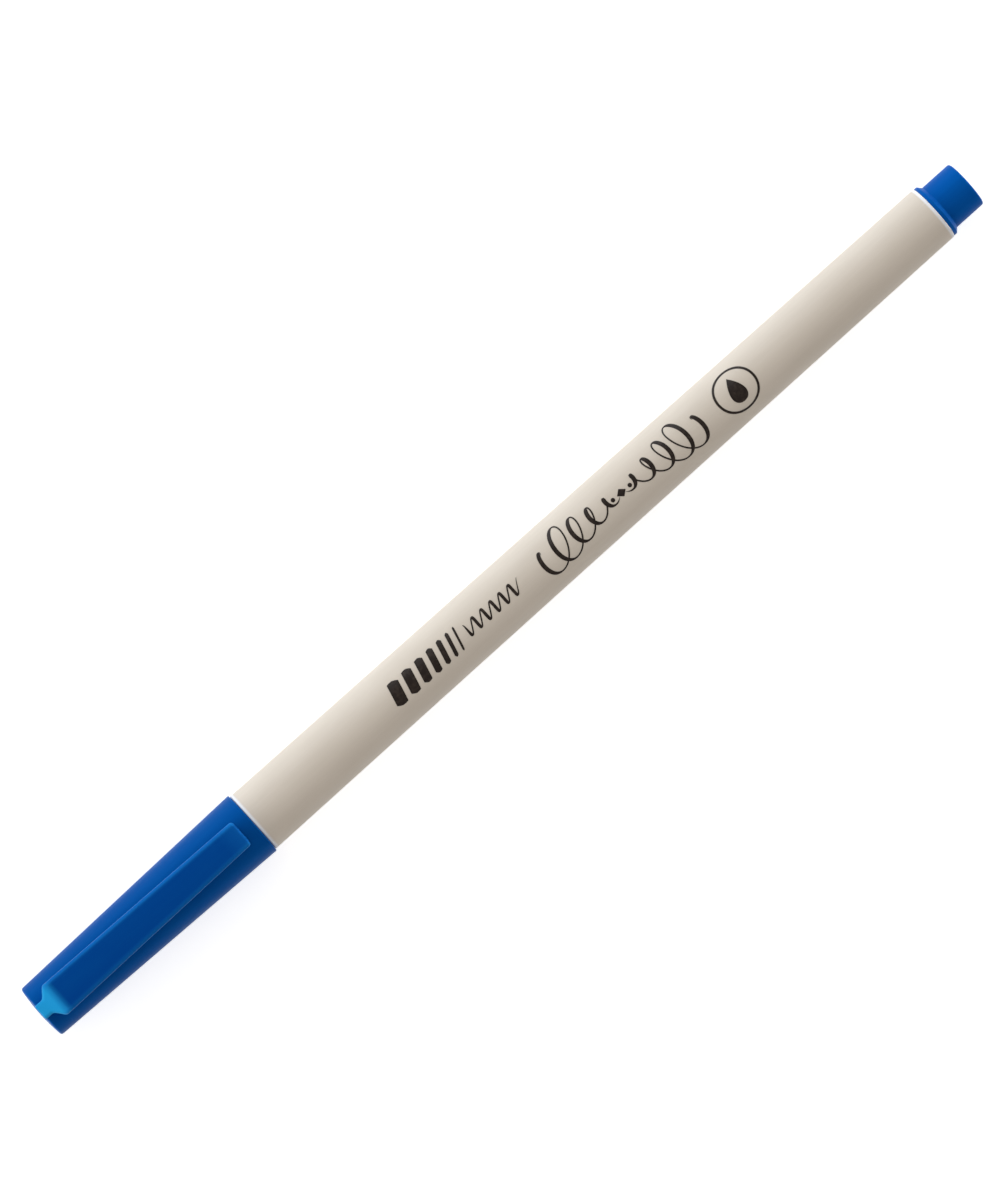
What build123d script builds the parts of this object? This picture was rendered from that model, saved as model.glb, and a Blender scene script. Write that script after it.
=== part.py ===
"""Capped brush pen for calligraphy, in separate pieces, in millimetres.

The pen lies along X with its clip on top: the closed end of the cap is at -X and the tail plug at +X.
The origin is on the surface that the pen lies on, under the middle of its length, and +Z is up.

Shapes are drawn by station and height. A station is the distance along the pen from the closed end of
the cap. A height is the distance from the pen's axis, so it is a radius on a turned piece.
"""
from build123d import *
from math import asin, degrees
import os

# Whole pen
LENGTH = 165.0
CAP_LENGTH = 37.75
TAIL_LENGTH = 5.78  # part of the tail plug that shows
CAP_END_RADIUS = 4.05
CAP_MOUTH_RADIUS = 4.85  # widest round part, which the pen lies on
SHOULDER_RADIUS = 4.60  # barrel beside the cap's mouth
BARREL_TAIL_RADIUS = 4.15
POST_RADIUS = 3.50  # barrel neck and tail button alike, so that the cap fits on both
AXIS_HEIGHT = CAP_MOUTH_RADIUS

# Fits
SLIP = 0.05  # between faces that slide or turn on each other
PRESS = 0.02  # between pieces pressed together
SEAT_GAP = 0.05  # from the cap's mouth to the barrel's shoulder
SINK = 0.01  # depth that a ridge's ends go into the surface that it stands on

# Cap
CAP_DOME_RISE = 0.30
CAP_EDGE_RADIUS = 0.40
CAP_END_WALL = 1.65
CAP_MOUTH_BORE = POST_RADIUS + 0.12
CAP_MOUTH_CHAMFER = 0.2
CAP_STEP_STATION = 24.26  # where the mouth bore steps down to the inner cap's bore
MOUTH_EDGE_RADIUS = 0.12

# Inner cap
LINER_BACK_STATION = CAP_END_WALL + 0.05
LINER_MOUTH_STATION = 25.10
LINER_BACK_RADIUS = 3.15
LINER_FRONT_RADIUS = 3.30
LINER_WALL = 0.45
LINER_FLANGE_RADIUS = POST_RADIUS + 0.06
LINER_FLANGE_LENGTH = 0.80
LINER_BORE_CLEARANCE = 0.04

# Clip and the boss that it springs from
HINGE_STATION = 3.80
HINGE_HEIGHT = 6.05
KNUCKLE_RADIUS = 0.70  # half of the arm's thickness at its root
CLIP_TIP_STATION = CAP_LENGTH - 2.0
CLIP_ROOT_WIDTH = 5.10
CLIP_TIP_WIDTH = 4.05
CLIP_CORNER_RADIUS = 0.45
CLIP_TOP_DROP = 0.20  # the arm's top comes down by this much on its straight stretch
TIP_FALL_START = 31.0
TIP_FALL = 0.55  # and by this much more in a curve at the tip
TIP_THICKNESS = 0.60
BUMP_STATION = 32.6
BUMP_RADIUS = 0.80
BUMP_GAP = 0.10  # from the bump to the cap
UNDERSIDE_RISE = 0.10  # of the arm, from its root to the bump
NECK_WIDTH = 2.30
NECK_END_STATION = 1.40
BOSS_FULL_STATION = 2.85
BOSS_FRONT_STATION = 4.10
BOSS_BACK_STATION = 0.15
RAMP_RUN, RAMP_RISE = 0.819, 0.574  # unit vector along the ramp

# Neck of the barrel
NECK_LENGTH = 11.35
NECK_BORE_RADIUS = 2.60
NECK_BORE_LENGTH = 8.6
BEAD_STATION = 32.5
BEAD_HEIGHT = 0.08
BEAD_HALF_LENGTH = 0.5
GROOVE_HALF_LENGTH = 0.7  # of the groove in the cap that the bead sits in

# Barrel
BARREL_BORE_RADIUS = 3.42
BARREL_EDGE_RADIUS = 0.40
BORE_CONE_END = CAP_LENGTH - 0.4
RIB_COUNT = 6
RIB_HEIGHT = 0.22
RIB_WIDTH = 0.50
RIB_START = 38.5
RIB_END = 150.0

# Nose cone
NOSE_TIP_STATION = 14.4
NOSE_TIP_RADIUS = 1.90
NOSE_CONE_RADIUS = 2.60
SEAL_START = 20.4
SEAL_RADIUS = 2.76
COLLAR_START = 25.2
COLLAR_EDGE_RADIUS = 0.20
SPIGOT_LENGTH = 8.0
NIB_HEAD_BORE_END = 17.6
VENT_COUNT = 3
VENT_WIDTH = 0.60
VENT_DEPTH = 0.45
VENT_OVERLAP = 0.5  # how far the vents reach into the nib head's bore

# Nib
BEND_STATION = 14.0  # centre of the round base that the flexible tip turns about
TIP_LENGTH = 9.0
TIP_BASE_RADIUS = 1.45
TIP_MIDDLE_RADIUS = 0.90
TIP_POINT_RADIUS = 0.12
SHAFT_HEAD_END = 17.5
SHAFT_RADIUS = 1.20
SHAFT_END = 48.0
SHAFT_CHAMFER = 0.6

# Ink filler
FILLER_START = 42.0
FILLER_LENGTH = 100.0
FILLER_RADIUS = 3.00
FILLER_EDGE_RADIUS = 0.4
FILM_GAP = 0.03
FILM_WALL = 0.12
FILM_OVERHANG = 0.4
SHAFT_HOLE_EXTRA = 0.2

# Tail plug
FLANGE_RADIUS = 4.08
FLANGE_EDGE = 0.50
FLANGE_CHAMFER = 0.50
BUTTON_EDGE_RADIUS = 0.35
BUTTON_END_WALL = 1.2
PLUG_SPIGOT_LENGTH = 6.8
PLUG_SPIGOT_RADIUS = 3.34
PLUG_BORE_RADIUS = 2.40
PLUG_BEAD_STATIONS = (154.2, 156.6)
PLUG_BEAD_HALF_LENGTH = 0.35
STEM_FINS = 2
STEM_WIDTH = 5.0
STEM_THICKNESS = 0.8
STEM_ROOT = 1.0  # how far the stem's fins reach into the spigot
STEM_GAP = 0.6  # from the stem to the filler's film

# Worked out from the above
FLANGE_STATION = LENGTH - TAIL_LENGTH
NECK_STATION = CAP_LENGTH - NECK_LENGTH
SHOULDER_STATION = CAP_LENGTH + SEAT_GAP
FILLER_END = FILLER_START + FILLER_LENGTH
HINGE_TOP = HINGE_HEIGHT + KNUCKLE_RADIUS
HINGE_UNDERSIDE = HINGE_HEIGHT - KNUCKLE_RADIUS


def at(station, height):
    """Point in the pen's upright middle plane, before the pen is lifted to its axis height."""
    return (station - LENGTH / 2, height)


def along(first, last, share):
    """Value at a share of the way from first to last."""
    return first + (last - first) * share


def cap_radius(station):
    """Outer radius of the cap's taper."""
    return along(CAP_END_RADIUS, CAP_MOUTH_RADIUS, station / CAP_LENGTH)


def barrel_radius(station):
    """Outer radius of the barrel's taper."""
    share = (station - SHOULDER_STATION) / (FLANGE_STATION - SHOULDER_STATION)
    return along(SHOULDER_RADIUS, BARREL_TAIL_RADIUS, share)


def upright(face):
    """Puts a face drawn in station and height into the upright middle plane."""
    return Plane.XZ * face


def turned(*points):
    """Solid of revolution about the pen's axis, from (station, radius) corners."""
    outline = Polyline(*[at(*p) for p in points], close=True)
    return revolve(upright(make_face(outline)), Axis.X)


def rod(start, end, radius):
    """Round rod along the pen's axis."""
    return turned((start, 0), (end, 0), (end, radius), (start, radius))


def bead(station, half_length, radius, height):
    """Low round ridge about the pen's axis, on a surface of that radius."""
    start, end = station - half_length, station + half_length
    foot = radius - 2 * height
    ridge = ThreePointArc(at(start, radius - SINK), at(station, radius + height), at(end, radius - SINK))
    base = Polyline(ridge @ 1, at(end, foot), at(start, foot), ridge @ 0)
    return revolve(upright(make_face([ridge, base])), Axis.X)


def block(start, end, width, low, high):
    """Box along the pen, centred on its upright middle plane."""
    centre = Pos((start + end) / 2 - LENGTH / 2, 0, (low + high) / 2)
    return centre * Box(end - start, width, high - low)


def plan_prism(*points):
    """Upright prism over an outline of (station, half width) points, on both sides of the middle plane."""
    near = [(s - LENGTH / 2, w) for s, w in points]
    far = [(x, -w) for x, w in reversed(near)]
    outline = make_face(Polyline(*near, *far, close=True))
    return extrude(outline, amount=2 * HINGE_TOP)


def circles_at(solid, station, radius):
    """Round edges of a turned solid at a station and radius."""
    x = station - LENGTH / 2
    edges = solid.edges().filter_by(GeomType.CIRCLE)
    return edges.filter_by(lambda e: abs(e.arc_center.X - x) < 1e-3 and abs(e.radius - radius) < 1e-3)


def cap_outside():
    """Tapered body of the cap with a domed closed end and rounded edges."""
    edge_station = CAP_DOME_RISE
    edge_radius = cap_radius(edge_station)
    rim, centre, far_rim = at(edge_station, edge_radius), at(0, 0), at(edge_station, -edge_radius)
    dome = ThreePointArc(far_rim, centre, rim).trim(0.5, 1)
    walls = Polyline(dome @ 1, at(CAP_LENGTH, CAP_MOUTH_RADIUS), at(CAP_LENGTH, 0), dome @ 0)
    body = revolve(upright(make_face([dome, walls])), Axis.X)
    body = fillet(circles_at(body, edge_station, edge_radius), CAP_EDGE_RADIUS)
    return fillet(circles_at(body, CAP_LENGTH, CAP_MOUTH_RADIUS), MOUTH_EDGE_RADIUS)


def clip_boss():
    """Ramp and neck at the closed end that carry the clip, with a round seat for the clip's knuckle."""
    ramp_start = HINGE_STATION - RAMP_RISE * KNUCKLE_RADIUS
    ramp_top = HINGE_HEIGHT + RAMP_RUN * KNUCKLE_RADIUS
    back_height = ramp_top - (ramp_start - BOSS_BACK_STATION) * RAMP_RISE / RAMP_RUN
    side = Polyline(
        at(BOSS_BACK_STATION, 0),
        at(BOSS_BACK_STATION, back_height),
        at(ramp_start, ramp_top),
        at(HINGE_STATION, ramp_top),
        at(HINGE_STATION, HINGE_UNDERSIDE - SLIP),
        at(BOSS_FRONT_STATION, 0),
        close=True,
    )
    slab = extrude(upright(make_face(side)), amount=CLIP_ROOT_WIDTH / 2, both=True)
    plan = plan_prism(
        (BOSS_BACK_STATION, NECK_WIDTH / 2),
        (NECK_END_STATION, NECK_WIDTH / 2),
        (BOSS_FULL_STATION, CLIP_ROOT_WIDTH / 2),
        (BOSS_FRONT_STATION, CLIP_ROOT_WIDTH / 2),
    )
    seat = upright(Pos(*at(HINGE_STATION, HINGE_HEIGHT)) * Circle(KNUCKLE_RADIUS + SLIP))
    return (slab & plan) - extrude(seat, amount=CLIP_ROOT_WIDTH, both=True)


def make_cap():
    """Outer cap: tapered shell, clip boss, stepped bore and a groove for the neck's snap bead."""
    liner_clear = LINER_BORE_CLEARANCE
    bore = turned(
        (CAP_END_WALL, 0),
        (CAP_END_WALL, LINER_BACK_RADIUS + liner_clear),
        (CAP_STEP_STATION, LINER_FRONT_RADIUS + liner_clear),
        (CAP_STEP_STATION, CAP_MOUTH_BORE),
        (CAP_LENGTH, CAP_MOUTH_BORE),
        (CAP_LENGTH, 0),
    )
    groove = bead(BEAD_STATION, GROOVE_HALF_LENGTH, CAP_MOUTH_BORE, BEAD_HEIGHT)
    shell = cap_outside() + clip_boss() - bore - groove
    return chamfer(circles_at(shell, CAP_LENGTH, CAP_MOUTH_BORE), CAP_MOUTH_CHAMFER)


def make_clip():
    """Clip arm: a round knuckle at its root, a straight tapering arm, a falling tip and a grip bump."""
    fall_top = HINGE_TOP - CLIP_TOP_DROP
    tip_top = fall_top - TIP_FALL
    top = Line(at(HINGE_STATION, HINGE_TOP), at(TIP_FALL_START, fall_top))
    fall = TangentArc(top @ 1, at(CLIP_TIP_STATION, tip_top), tangent=top % 1)
    rest = Polyline(
        fall @ 1,
        at(CLIP_TIP_STATION, tip_top - TIP_THICKNESS),
        at(BUMP_STATION + BUMP_RADIUS, HINGE_UNDERSIDE + UNDERSIDE_RISE),
        at(HINGE_STATION, HINGE_UNDERSIDE),
        top @ 0,
    )
    knuckle = Pos(*at(HINGE_STATION, HINGE_HEIGHT)) * Circle(KNUCKLE_RADIUS)
    bump_height = cap_radius(BUMP_STATION) + BUMP_GAP + BUMP_RADIUS
    bump = Pos(*at(BUMP_STATION, bump_height)) * Circle(BUMP_RADIUS)
    side = upright(make_face([top, fall, rest]) + knuckle + bump)
    plan = plan_prism(
        (HINGE_STATION - KNUCKLE_RADIUS, CLIP_ROOT_WIDTH / 2),
        (HINGE_STATION, CLIP_ROOT_WIDTH / 2),
        (CLIP_TIP_STATION, CLIP_TIP_WIDTH / 2),
    )
    corners = plan.edges().filter_by(Axis.Z).sort_by(Axis.X)[-2:]
    plan = fillet(corners, CLIP_CORNER_RADIUS)
    return extrude(side, amount=CLIP_ROOT_WIDTH, both=True) & plan


def make_inner_cap():
    """Thin cup that seals round the nose cone, with a flange that stops against the cap's step."""
    flange_start = LINER_MOUTH_STATION - LINER_FLANGE_LENGTH
    cup = turned(
        (LINER_BACK_STATION, 0),
        (LINER_BACK_STATION, LINER_BACK_RADIUS),
        (flange_start, LINER_FRONT_RADIUS),
        (flange_start, LINER_FLANGE_RADIUS),
        (LINER_MOUTH_STATION, LINER_FLANGE_RADIUS),
        (LINER_MOUTH_STATION, 0),
    )
    hollow = turned(
        (LINER_BACK_STATION + LINER_WALL, 0),
        (LINER_BACK_STATION + LINER_WALL, LINER_BACK_RADIUS - LINER_WALL),
        (LINER_MOUTH_STATION, LINER_FRONT_RADIUS - LINER_WALL),
        (LINER_MOUTH_STATION, 0),
    )
    return cup - hollow


def barrel_ribs():
    """Ribs inside the barrel that centre the filler and leave air between them."""
    low = BARREL_BORE_RADIUS - RIB_HEIGHT
    rib = block(RIB_START, RIB_END, RIB_WIDTH, low, BARREL_BORE_RADIUS + RIB_HEIGHT)
    return [Rot(360 / RIB_COUNT * n, 0, 0) * rib for n in range(RIB_COUNT)]


def make_barrel():
    """Tapered tube with a shoulder and a narrower neck that the cap goes over."""
    tail_station = FLANGE_STATION - PRESS
    outside = turned(
        (NECK_STATION, 0),
        (NECK_STATION, POST_RADIUS),
        (SHOULDER_STATION, POST_RADIUS),
        (SHOULDER_STATION, SHOULDER_RADIUS),
        (tail_station, barrel_radius(tail_station)),
        (tail_station, 0),
    )
    outside = fillet(circles_at(outside, SHOULDER_STATION, SHOULDER_RADIUS), BARREL_EDGE_RADIUS)
    outside = fillet(circles_at(outside, tail_station, barrel_radius(tail_station)), BARREL_EDGE_RADIUS)
    outside = outside + bead(BEAD_STATION, BEAD_HALF_LENGTH, POST_RADIUS, BEAD_HEIGHT)
    bore = turned(
        (NECK_STATION, 0),
        (NECK_STATION, NECK_BORE_RADIUS),
        (NECK_STATION + NECK_BORE_LENGTH, NECK_BORE_RADIUS),
        (BORE_CONE_END, BARREL_BORE_RADIUS),
        (tail_station, BARREL_BORE_RADIUS),
        (tail_station, 0),
    )
    return outside - bore + barrel_ribs()


def make_nose_cone():
    """Front piece: spigot, collar, sealing land and cone, bored for the nib, with air channels."""
    spigot_end = NECK_STATION + SPIGOT_LENGTH
    spigot_radius = NECK_BORE_RADIUS - PRESS
    body = turned(
        (NOSE_TIP_STATION, 0),
        (NOSE_TIP_STATION, NOSE_TIP_RADIUS),
        (SEAL_START, NOSE_CONE_RADIUS),
        (SEAL_START, SEAL_RADIUS),
        (COLLAR_START, SEAL_RADIUS),
        (COLLAR_START, POST_RADIUS),
        (NECK_STATION, POST_RADIUS),
        (NECK_STATION, spigot_radius),
        (spigot_end, spigot_radius),
        (spigot_end, 0),
    )
    body = fillet(circles_at(body, NOSE_TIP_STATION, NOSE_TIP_RADIUS), COLLAR_EDGE_RADIUS)
    body = fillet(circles_at(body, COLLAR_START, POST_RADIUS), COLLAR_EDGE_RADIUS)
    head_bore = rod(NOSE_TIP_STATION, NIB_HEAD_BORE_END, TIP_BASE_RADIUS + SLIP)
    shaft_bore = rod(NOSE_TIP_STATION, spigot_end, SHAFT_RADIUS + SLIP)
    vent_start = NIB_HEAD_BORE_END - VENT_OVERLAP
    vent = block(vent_start, spigot_end, VENT_WIDTH, 0, SHAFT_RADIUS + SLIP + VENT_DEPTH)
    vents = [Rot(360 / VENT_COUNT * n, 0, 0) * vent for n in range(VENT_COUNT)]
    return body - head_bore - shaft_bore - vents


def make_brush_tip():
    """Flexible point of the nib: a slim pointed cone on a round base."""
    point = BEND_STATION - TIP_LENGTH
    side = ThreePointArc(
        at(BEND_STATION, TIP_BASE_RADIUS),
        at(BEND_STATION - TIP_LENGTH / 2, TIP_MIDDLE_RADIUS),
        at(point + TIP_POINT_RADIUS, TIP_POINT_RADIUS),
    )
    nose = CenterArc(at(point + TIP_POINT_RADIUS, 0), TIP_POINT_RADIUS, 90, 90)
    base = CenterArc(at(BEND_STATION, 0), TIP_BASE_RADIUS, 90, -90)
    middle = Line(at(point, 0), at(BEND_STATION + TIP_BASE_RADIUS, 0))
    return revolve(upright(make_face([side, nose, middle, base])), Axis.X)


def make_nib_shaft():
    """Rear of the nib: head with a round socket for the tip, and a thin shaft that ends in the filler."""
    socket_radius = TIP_BASE_RADIUS + SLIP
    rim_angle = degrees(asin(TIP_BASE_RADIUS / socket_radius))
    socket = CenterArc(at(BEND_STATION, 0), socket_radius, 0, rim_angle)
    rest = Polyline(
        socket @ 1,
        at(SHAFT_HEAD_END, TIP_BASE_RADIUS),
        at(SHAFT_HEAD_END, SHAFT_RADIUS),
        at(SHAFT_END - SHAFT_CHAMFER, SHAFT_RADIUS),
        at(SHAFT_END, SHAFT_RADIUS - SHAFT_CHAMFER),
        at(SHAFT_END, 0),
        socket @ 0,
    )
    return revolve(upright(make_face([socket, rest])), Axis.X)


def make_reservoir():
    """Fibre filler rod with a hole at its front where the nib's shaft goes in."""
    body = rod(FILLER_START, FILLER_END, FILLER_RADIUS)
    body = fillet(body.edges().filter_by(GeomType.CIRCLE), FILLER_EDGE_RADIUS)
    return body - rod(FILLER_START, SHAFT_END + SHAFT_HOLE_EXTRA, SHAFT_RADIUS + PRESS)


def make_film():
    """Clear film sleeve round the filler."""
    inside = FILLER_RADIUS + FILM_GAP
    start = FILLER_START - FILM_OVERHANG
    end = FILLER_END + FILM_OVERHANG
    return rod(start, end, inside + FILM_WALL) - rod(start, end, inside)


def make_tail_plug():
    """Tail plug: button and flange outside, sealing spigot and cross-shaped stem inside."""
    spigot_start = FLANGE_STATION - PLUG_SPIGOT_LENGTH
    chamfer_start = FLANGE_STATION + FLANGE_EDGE
    chamfer_end = chamfer_start + FLANGE_CHAMFER
    body = turned(
        (spigot_start, 0),
        (spigot_start, PLUG_SPIGOT_RADIUS),
        (FLANGE_STATION, PLUG_SPIGOT_RADIUS),
        (FLANGE_STATION, FLANGE_RADIUS),
        (chamfer_start, FLANGE_RADIUS),
        (chamfer_end, POST_RADIUS),
        (LENGTH, POST_RADIUS),
        (LENGTH, 0),
    )
    body = fillet(circles_at(body, LENGTH, POST_RADIUS), BUTTON_EDGE_RADIUS)
    bead_height = BARREL_BORE_RADIUS - PRESS - PLUG_SPIGOT_RADIUS
    beads = [bead(s, PLUG_BEAD_HALF_LENGTH, PLUG_SPIGOT_RADIUS, bead_height) for s in PLUG_BEAD_STATIONS]
    hollow = rod(spigot_start, LENGTH - BUTTON_END_WALL, PLUG_BORE_RADIUS)
    stem_start = FILLER_END + FILM_OVERHANG + STEM_GAP
    fin = block(stem_start, spigot_start + STEM_ROOT, STEM_WIDTH, -STEM_THICKNESS / 2, STEM_THICKNESS / 2)
    fins = [Rot(180 / STEM_FINS * n, 0, 0) * fin for n in range(STEM_FINS)]
    return body + beads - hollow + fins


PIECES = {
    "cap": make_cap,
    "clip": make_clip,
    "inner_cap": make_inner_cap,
    "barrel": make_barrel,
    "nose_cone": make_nose_cone,
    "brush_tip": make_brush_tip,
    "nib_shaft": make_nib_shaft,
    "ink_reservoir": make_reservoir,
    "reservoir_film": make_film,
    "tail_plug": make_tail_plug,
}

os.makedirs("parts", exist_ok=True)
for name, make in PIECES.items():
    piece = Pos(0, 0, AXIS_HEIGHT) * make()
    export_step(piece, f"parts/{name}.step")
    print(name, "volume", round(piece.volume, 2), "mm3")
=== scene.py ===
"""Looks of a capped brush pen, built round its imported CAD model.

Everything is in metres in the CAD model's own frame: the pen lies along X with the closed end of its cap at
-X, its clip is on top, and +Z is up. A station is the distance along the pen from the cap's closed end.
"""

import logging
import math
from collections.abc import Callable, Sequence
from dataclasses import dataclass, replace
from enum import Enum

import bmesh
import bpy
from mathutils import Matrix, Vector


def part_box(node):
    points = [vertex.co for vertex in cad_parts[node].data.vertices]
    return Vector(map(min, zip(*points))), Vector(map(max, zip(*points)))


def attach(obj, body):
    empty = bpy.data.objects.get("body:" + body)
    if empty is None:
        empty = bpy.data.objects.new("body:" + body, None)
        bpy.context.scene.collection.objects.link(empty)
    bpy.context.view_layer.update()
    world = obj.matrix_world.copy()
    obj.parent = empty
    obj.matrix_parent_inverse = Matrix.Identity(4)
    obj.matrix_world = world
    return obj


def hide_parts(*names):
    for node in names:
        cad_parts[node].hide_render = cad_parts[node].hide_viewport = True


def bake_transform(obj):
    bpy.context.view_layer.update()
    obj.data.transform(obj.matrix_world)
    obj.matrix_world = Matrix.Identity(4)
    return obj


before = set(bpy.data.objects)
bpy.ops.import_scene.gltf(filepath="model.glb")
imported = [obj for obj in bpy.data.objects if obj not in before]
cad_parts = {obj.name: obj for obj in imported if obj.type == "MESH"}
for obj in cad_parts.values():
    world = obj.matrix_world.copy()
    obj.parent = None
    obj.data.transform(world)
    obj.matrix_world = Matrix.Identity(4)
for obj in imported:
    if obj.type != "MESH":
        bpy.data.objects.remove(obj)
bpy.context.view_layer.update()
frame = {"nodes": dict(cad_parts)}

LOG = logging.getLogger("brush_pen")
MM = 0.001
SHARP_ANGLE = math.radians(40)  # faces that meet more steeply than this keep a crisp edge between them

Colour = tuple[float, float, float]
Size = tuple[float, float, float]
Point = tuple[float, float]


class Body(Enum):
    """Moving bodies of the CAD model."""

    BARREL = "barrel"
    TIP = "brush_tip"
    LINER = "inner_cap"
    CAP = "cap"
    CLIP = "clip"


class Slot(Enum):
    """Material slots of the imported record."""

    CAP = "cap_plastic"
    BARREL = "barrel_plastic"
    PLUG = "plug_plastic"
    LINER = "liner_plastic"
    NOSE = "nose_plastic"
    FELT = "nib_felt"
    FIBRE = "filler_fibre"
    FILM = "filler_film"
    INK = "print_ink"


# ---------------------------------------------------------------------------------------------------------
# Shader building
# ---------------------------------------------------------------------------------------------------------


class Reading:
    """A number that varies over a surface. Sums written with it add Math nodes."""

    def __init__(self, graph: "Graph", socket: bpy.types.NodeSocket) -> None:
        """Wraps the socket of a graph that gives the number."""
        self.graph = graph
        self.socket = socket

    def __add__(self, other: "Reading | float") -> "Reading":
        """Returns the sum."""
        return self.graph.maths("ADD", self, other)

    def __radd__(self, other: float) -> "Reading":
        """Returns the sum, with the number first."""
        return self.graph.maths("ADD", other, self)

    def __sub__(self, other: "Reading | float") -> "Reading":
        """Returns the difference."""
        return self.graph.maths("SUBTRACT", self, other)

    def __rsub__(self, other: float) -> "Reading":
        """Returns the difference from a number."""
        return self.graph.maths("SUBTRACT", other, self)

    def __mul__(self, other: "Reading | float") -> "Reading":
        """Returns the product."""
        return self.graph.maths("MULTIPLY", self, other)

    def __rmul__(self, other: float) -> "Reading":
        """Returns the product, with the number first."""
        return self.graph.maths("MULTIPLY", other, self)

    def __truediv__(self, other: "Reading | float") -> "Reading":
        """Returns the quotient."""
        return self.graph.maths("DIVIDE", self, other)

    def __rtruediv__(self, other: float) -> "Reading":
        """Returns the quotient, with the number on top."""
        return self.graph.maths("DIVIDE", other, self)

    def __pow__(self, power: float) -> "Reading":
        """Returns the power."""
        return self.graph.maths("POWER", self, power)

    def __abs__(self) -> "Reading":
        """Returns the size without its sign."""
        return self.graph.maths("ABSOLUTE", self)

    def held(self) -> "Reading":
        """Returns the number held between 0 and 1."""
        return self.graph.maths("MINIMUM", self.graph.maths("MAXIMUM", self, 0.0), 1.0)

    def between(self, low: float, high: float) -> "Reading":
        """Returns 0 at low, 1 at high and a straight run in between; low may be the larger one."""
        return ((self - low) / (high - low)).held()


class Graph:
    """The nodes of a material or of the world."""

    def __init__(self, owner: "bpy.types.Material | bpy.types.World") -> None:
        """Clears the owner's nodes.

        Args:
            owner: the new material or world.
        """
        self.owner = owner
        owner.use_nodes = True
        self.tree = owner.node_tree
        self.tree.nodes.clear()

    @classmethod
    def material(cls, name: str) -> "Graph":
        """Returns the empty graph of a new material."""
        return cls(bpy.data.materials.new(name))

    def node(self, kind: str, settings: dict | None = None, sockets: dict | None = None) -> bpy.types.Node:
        """Adds a node.

        Args:
            kind: the node's type.
            settings: values of its properties, set first.
            sockets: values or links of its inputs, by name or number.

        Returns:
            The node.
        """
        node = self.tree.nodes.new(kind)
        for name, value in (settings or {}).items():
            setattr(node, name, value)
        for name, value in (sockets or {}).items():
            if isinstance(value, Reading):
                value = value.socket
            if isinstance(value, bpy.types.NodeSocket):
                self.tree.links.new(value, node.inputs[name])
            else:
                node.inputs[name].default_value = value
        return node

    def maths(self, operation: str, *values: "Reading | float") -> Reading:
        """Returns the result of a Math node on one or two values."""
        node = self.node("ShaderNodeMath", {"operation": operation}, dict(enumerate(values)))
        return Reading(self, node.outputs[0])

    def place(self) -> bpy.types.NodeSocket:
        """Returns the point on the surface, in the pen's frame."""
        return self.node("ShaderNodeTexCoord").outputs["Object"]

    def part(self, vector: bpy.types.NodeSocket, axis: str) -> Reading:
        """Returns one part, "X", "Y" or "Z", of a vector."""
        return Reading(self, self.node("ShaderNodeSeparateXYZ", sockets={"Vector": vector}).outputs[axis])

    def along(self) -> Reading:
        """Returns the place along the pen."""
        return self.part(self.place(), "X")

    def within(self, axis: str) -> Reading:
        """Returns the place in the piece's own box, from 0 to 1, which stays put on a piece that bends."""
        return self.part(self.node("ShaderNodeTexCoord").outputs["Generated"], axis)

    def noise(self, size: Sequence[float], detail: float = 2.0, roughness: float = 0.5) -> Reading:
        """Adds an even noise.

        Args:
            size: how large its patches are along X, Y and Z.
            detail: how many finer layers it has.
            roughness: how strong those are.

        Returns:
            The noise, from 0 to 1 and mostly near 0.5.
        """
        cells = self.node(
            "ShaderNodeVectorMath", {"operation": "MULTIPLY"}, {0: self.place(), 1: [1 / s for s in size]}
        )
        node = self.node(
            "ShaderNodeTexNoise",
            {"noise_dimensions": "3D"},
            {"Vector": cells.outputs[0], "Scale": 1.0, "Detail": detail, "Roughness": roughness},
        )
        return Reading(self, node.outputs[0])

    def blend(
        self, share: Reading, first: "Colour | bpy.types.NodeSocket", second: Colour
    ) -> bpy.types.NodeSocket:
        """Mixes two colours.

        Args:
            share: how much of the second colour there is.
            first: the first colour, or a link that gives it.
            second: the second colour.

        Returns:
            The mixed colour.
        """
        if isinstance(first, tuple):
            first = (*first, 1.0)
        node = self.node("ShaderNodeMix", {"data_type": "RGBA"}, {0: share, 6: first, 7: (*second, 1.0)})
        return node.outputs[2]

    def bump(self, height: Reading, depth: float) -> bpy.types.NodeSocket:
        """Returns the normal bumped by a height from 0 to 1, whose real depth at 1 is given."""
        return self.node("ShaderNodeBump", sockets={"Height": height, "Distance": depth}).outputs["Normal"]

    def finish(self, **sockets: object) -> bpy.types.Material:
        """Adds the surface shader and the output.

        Args:
            sockets: the shader's inputs, with _ for each space in their names.

        Returns:
            The material.
        """
        named = {name.replace("_", " "): value for name, value in sockets.items()}
        shader = self.node("ShaderNodeBsdfPrincipled", sockets=named)
        self.node("ShaderNodeOutputMaterial", sockets={"Surface": shader.outputs[0]})
        return self.owner


# ---------------------------------------------------------------------------------------------------------
# Finishes
# ---------------------------------------------------------------------------------------------------------


@dataclass(frozen=True)
class LipHighlights:
    """Painted highlights: lighter lips round the barrel where the cap and the plug close on it, for the
    light that its end edges catch.
    """

    places: tuple[float, ...]  # where along the pen they are
    width: float = 0.55 * MM
    full: float = 0.6  # share of the width at which a lip starts to fade
    strength: float = 0.85

    def __call__(self, graph: Graph) -> Reading:
        """Returns how strong the painted highlight is.

        Args:
            graph: the material's graph.

        Returns:
            The share of the painted highlight colour.
        """
        along = graph.along()
        inner = self.full * self.width
        first, *others = [abs(along - place).between(self.width, inner) for place in self.places]
        return sum(others, first) * self.strength


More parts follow.
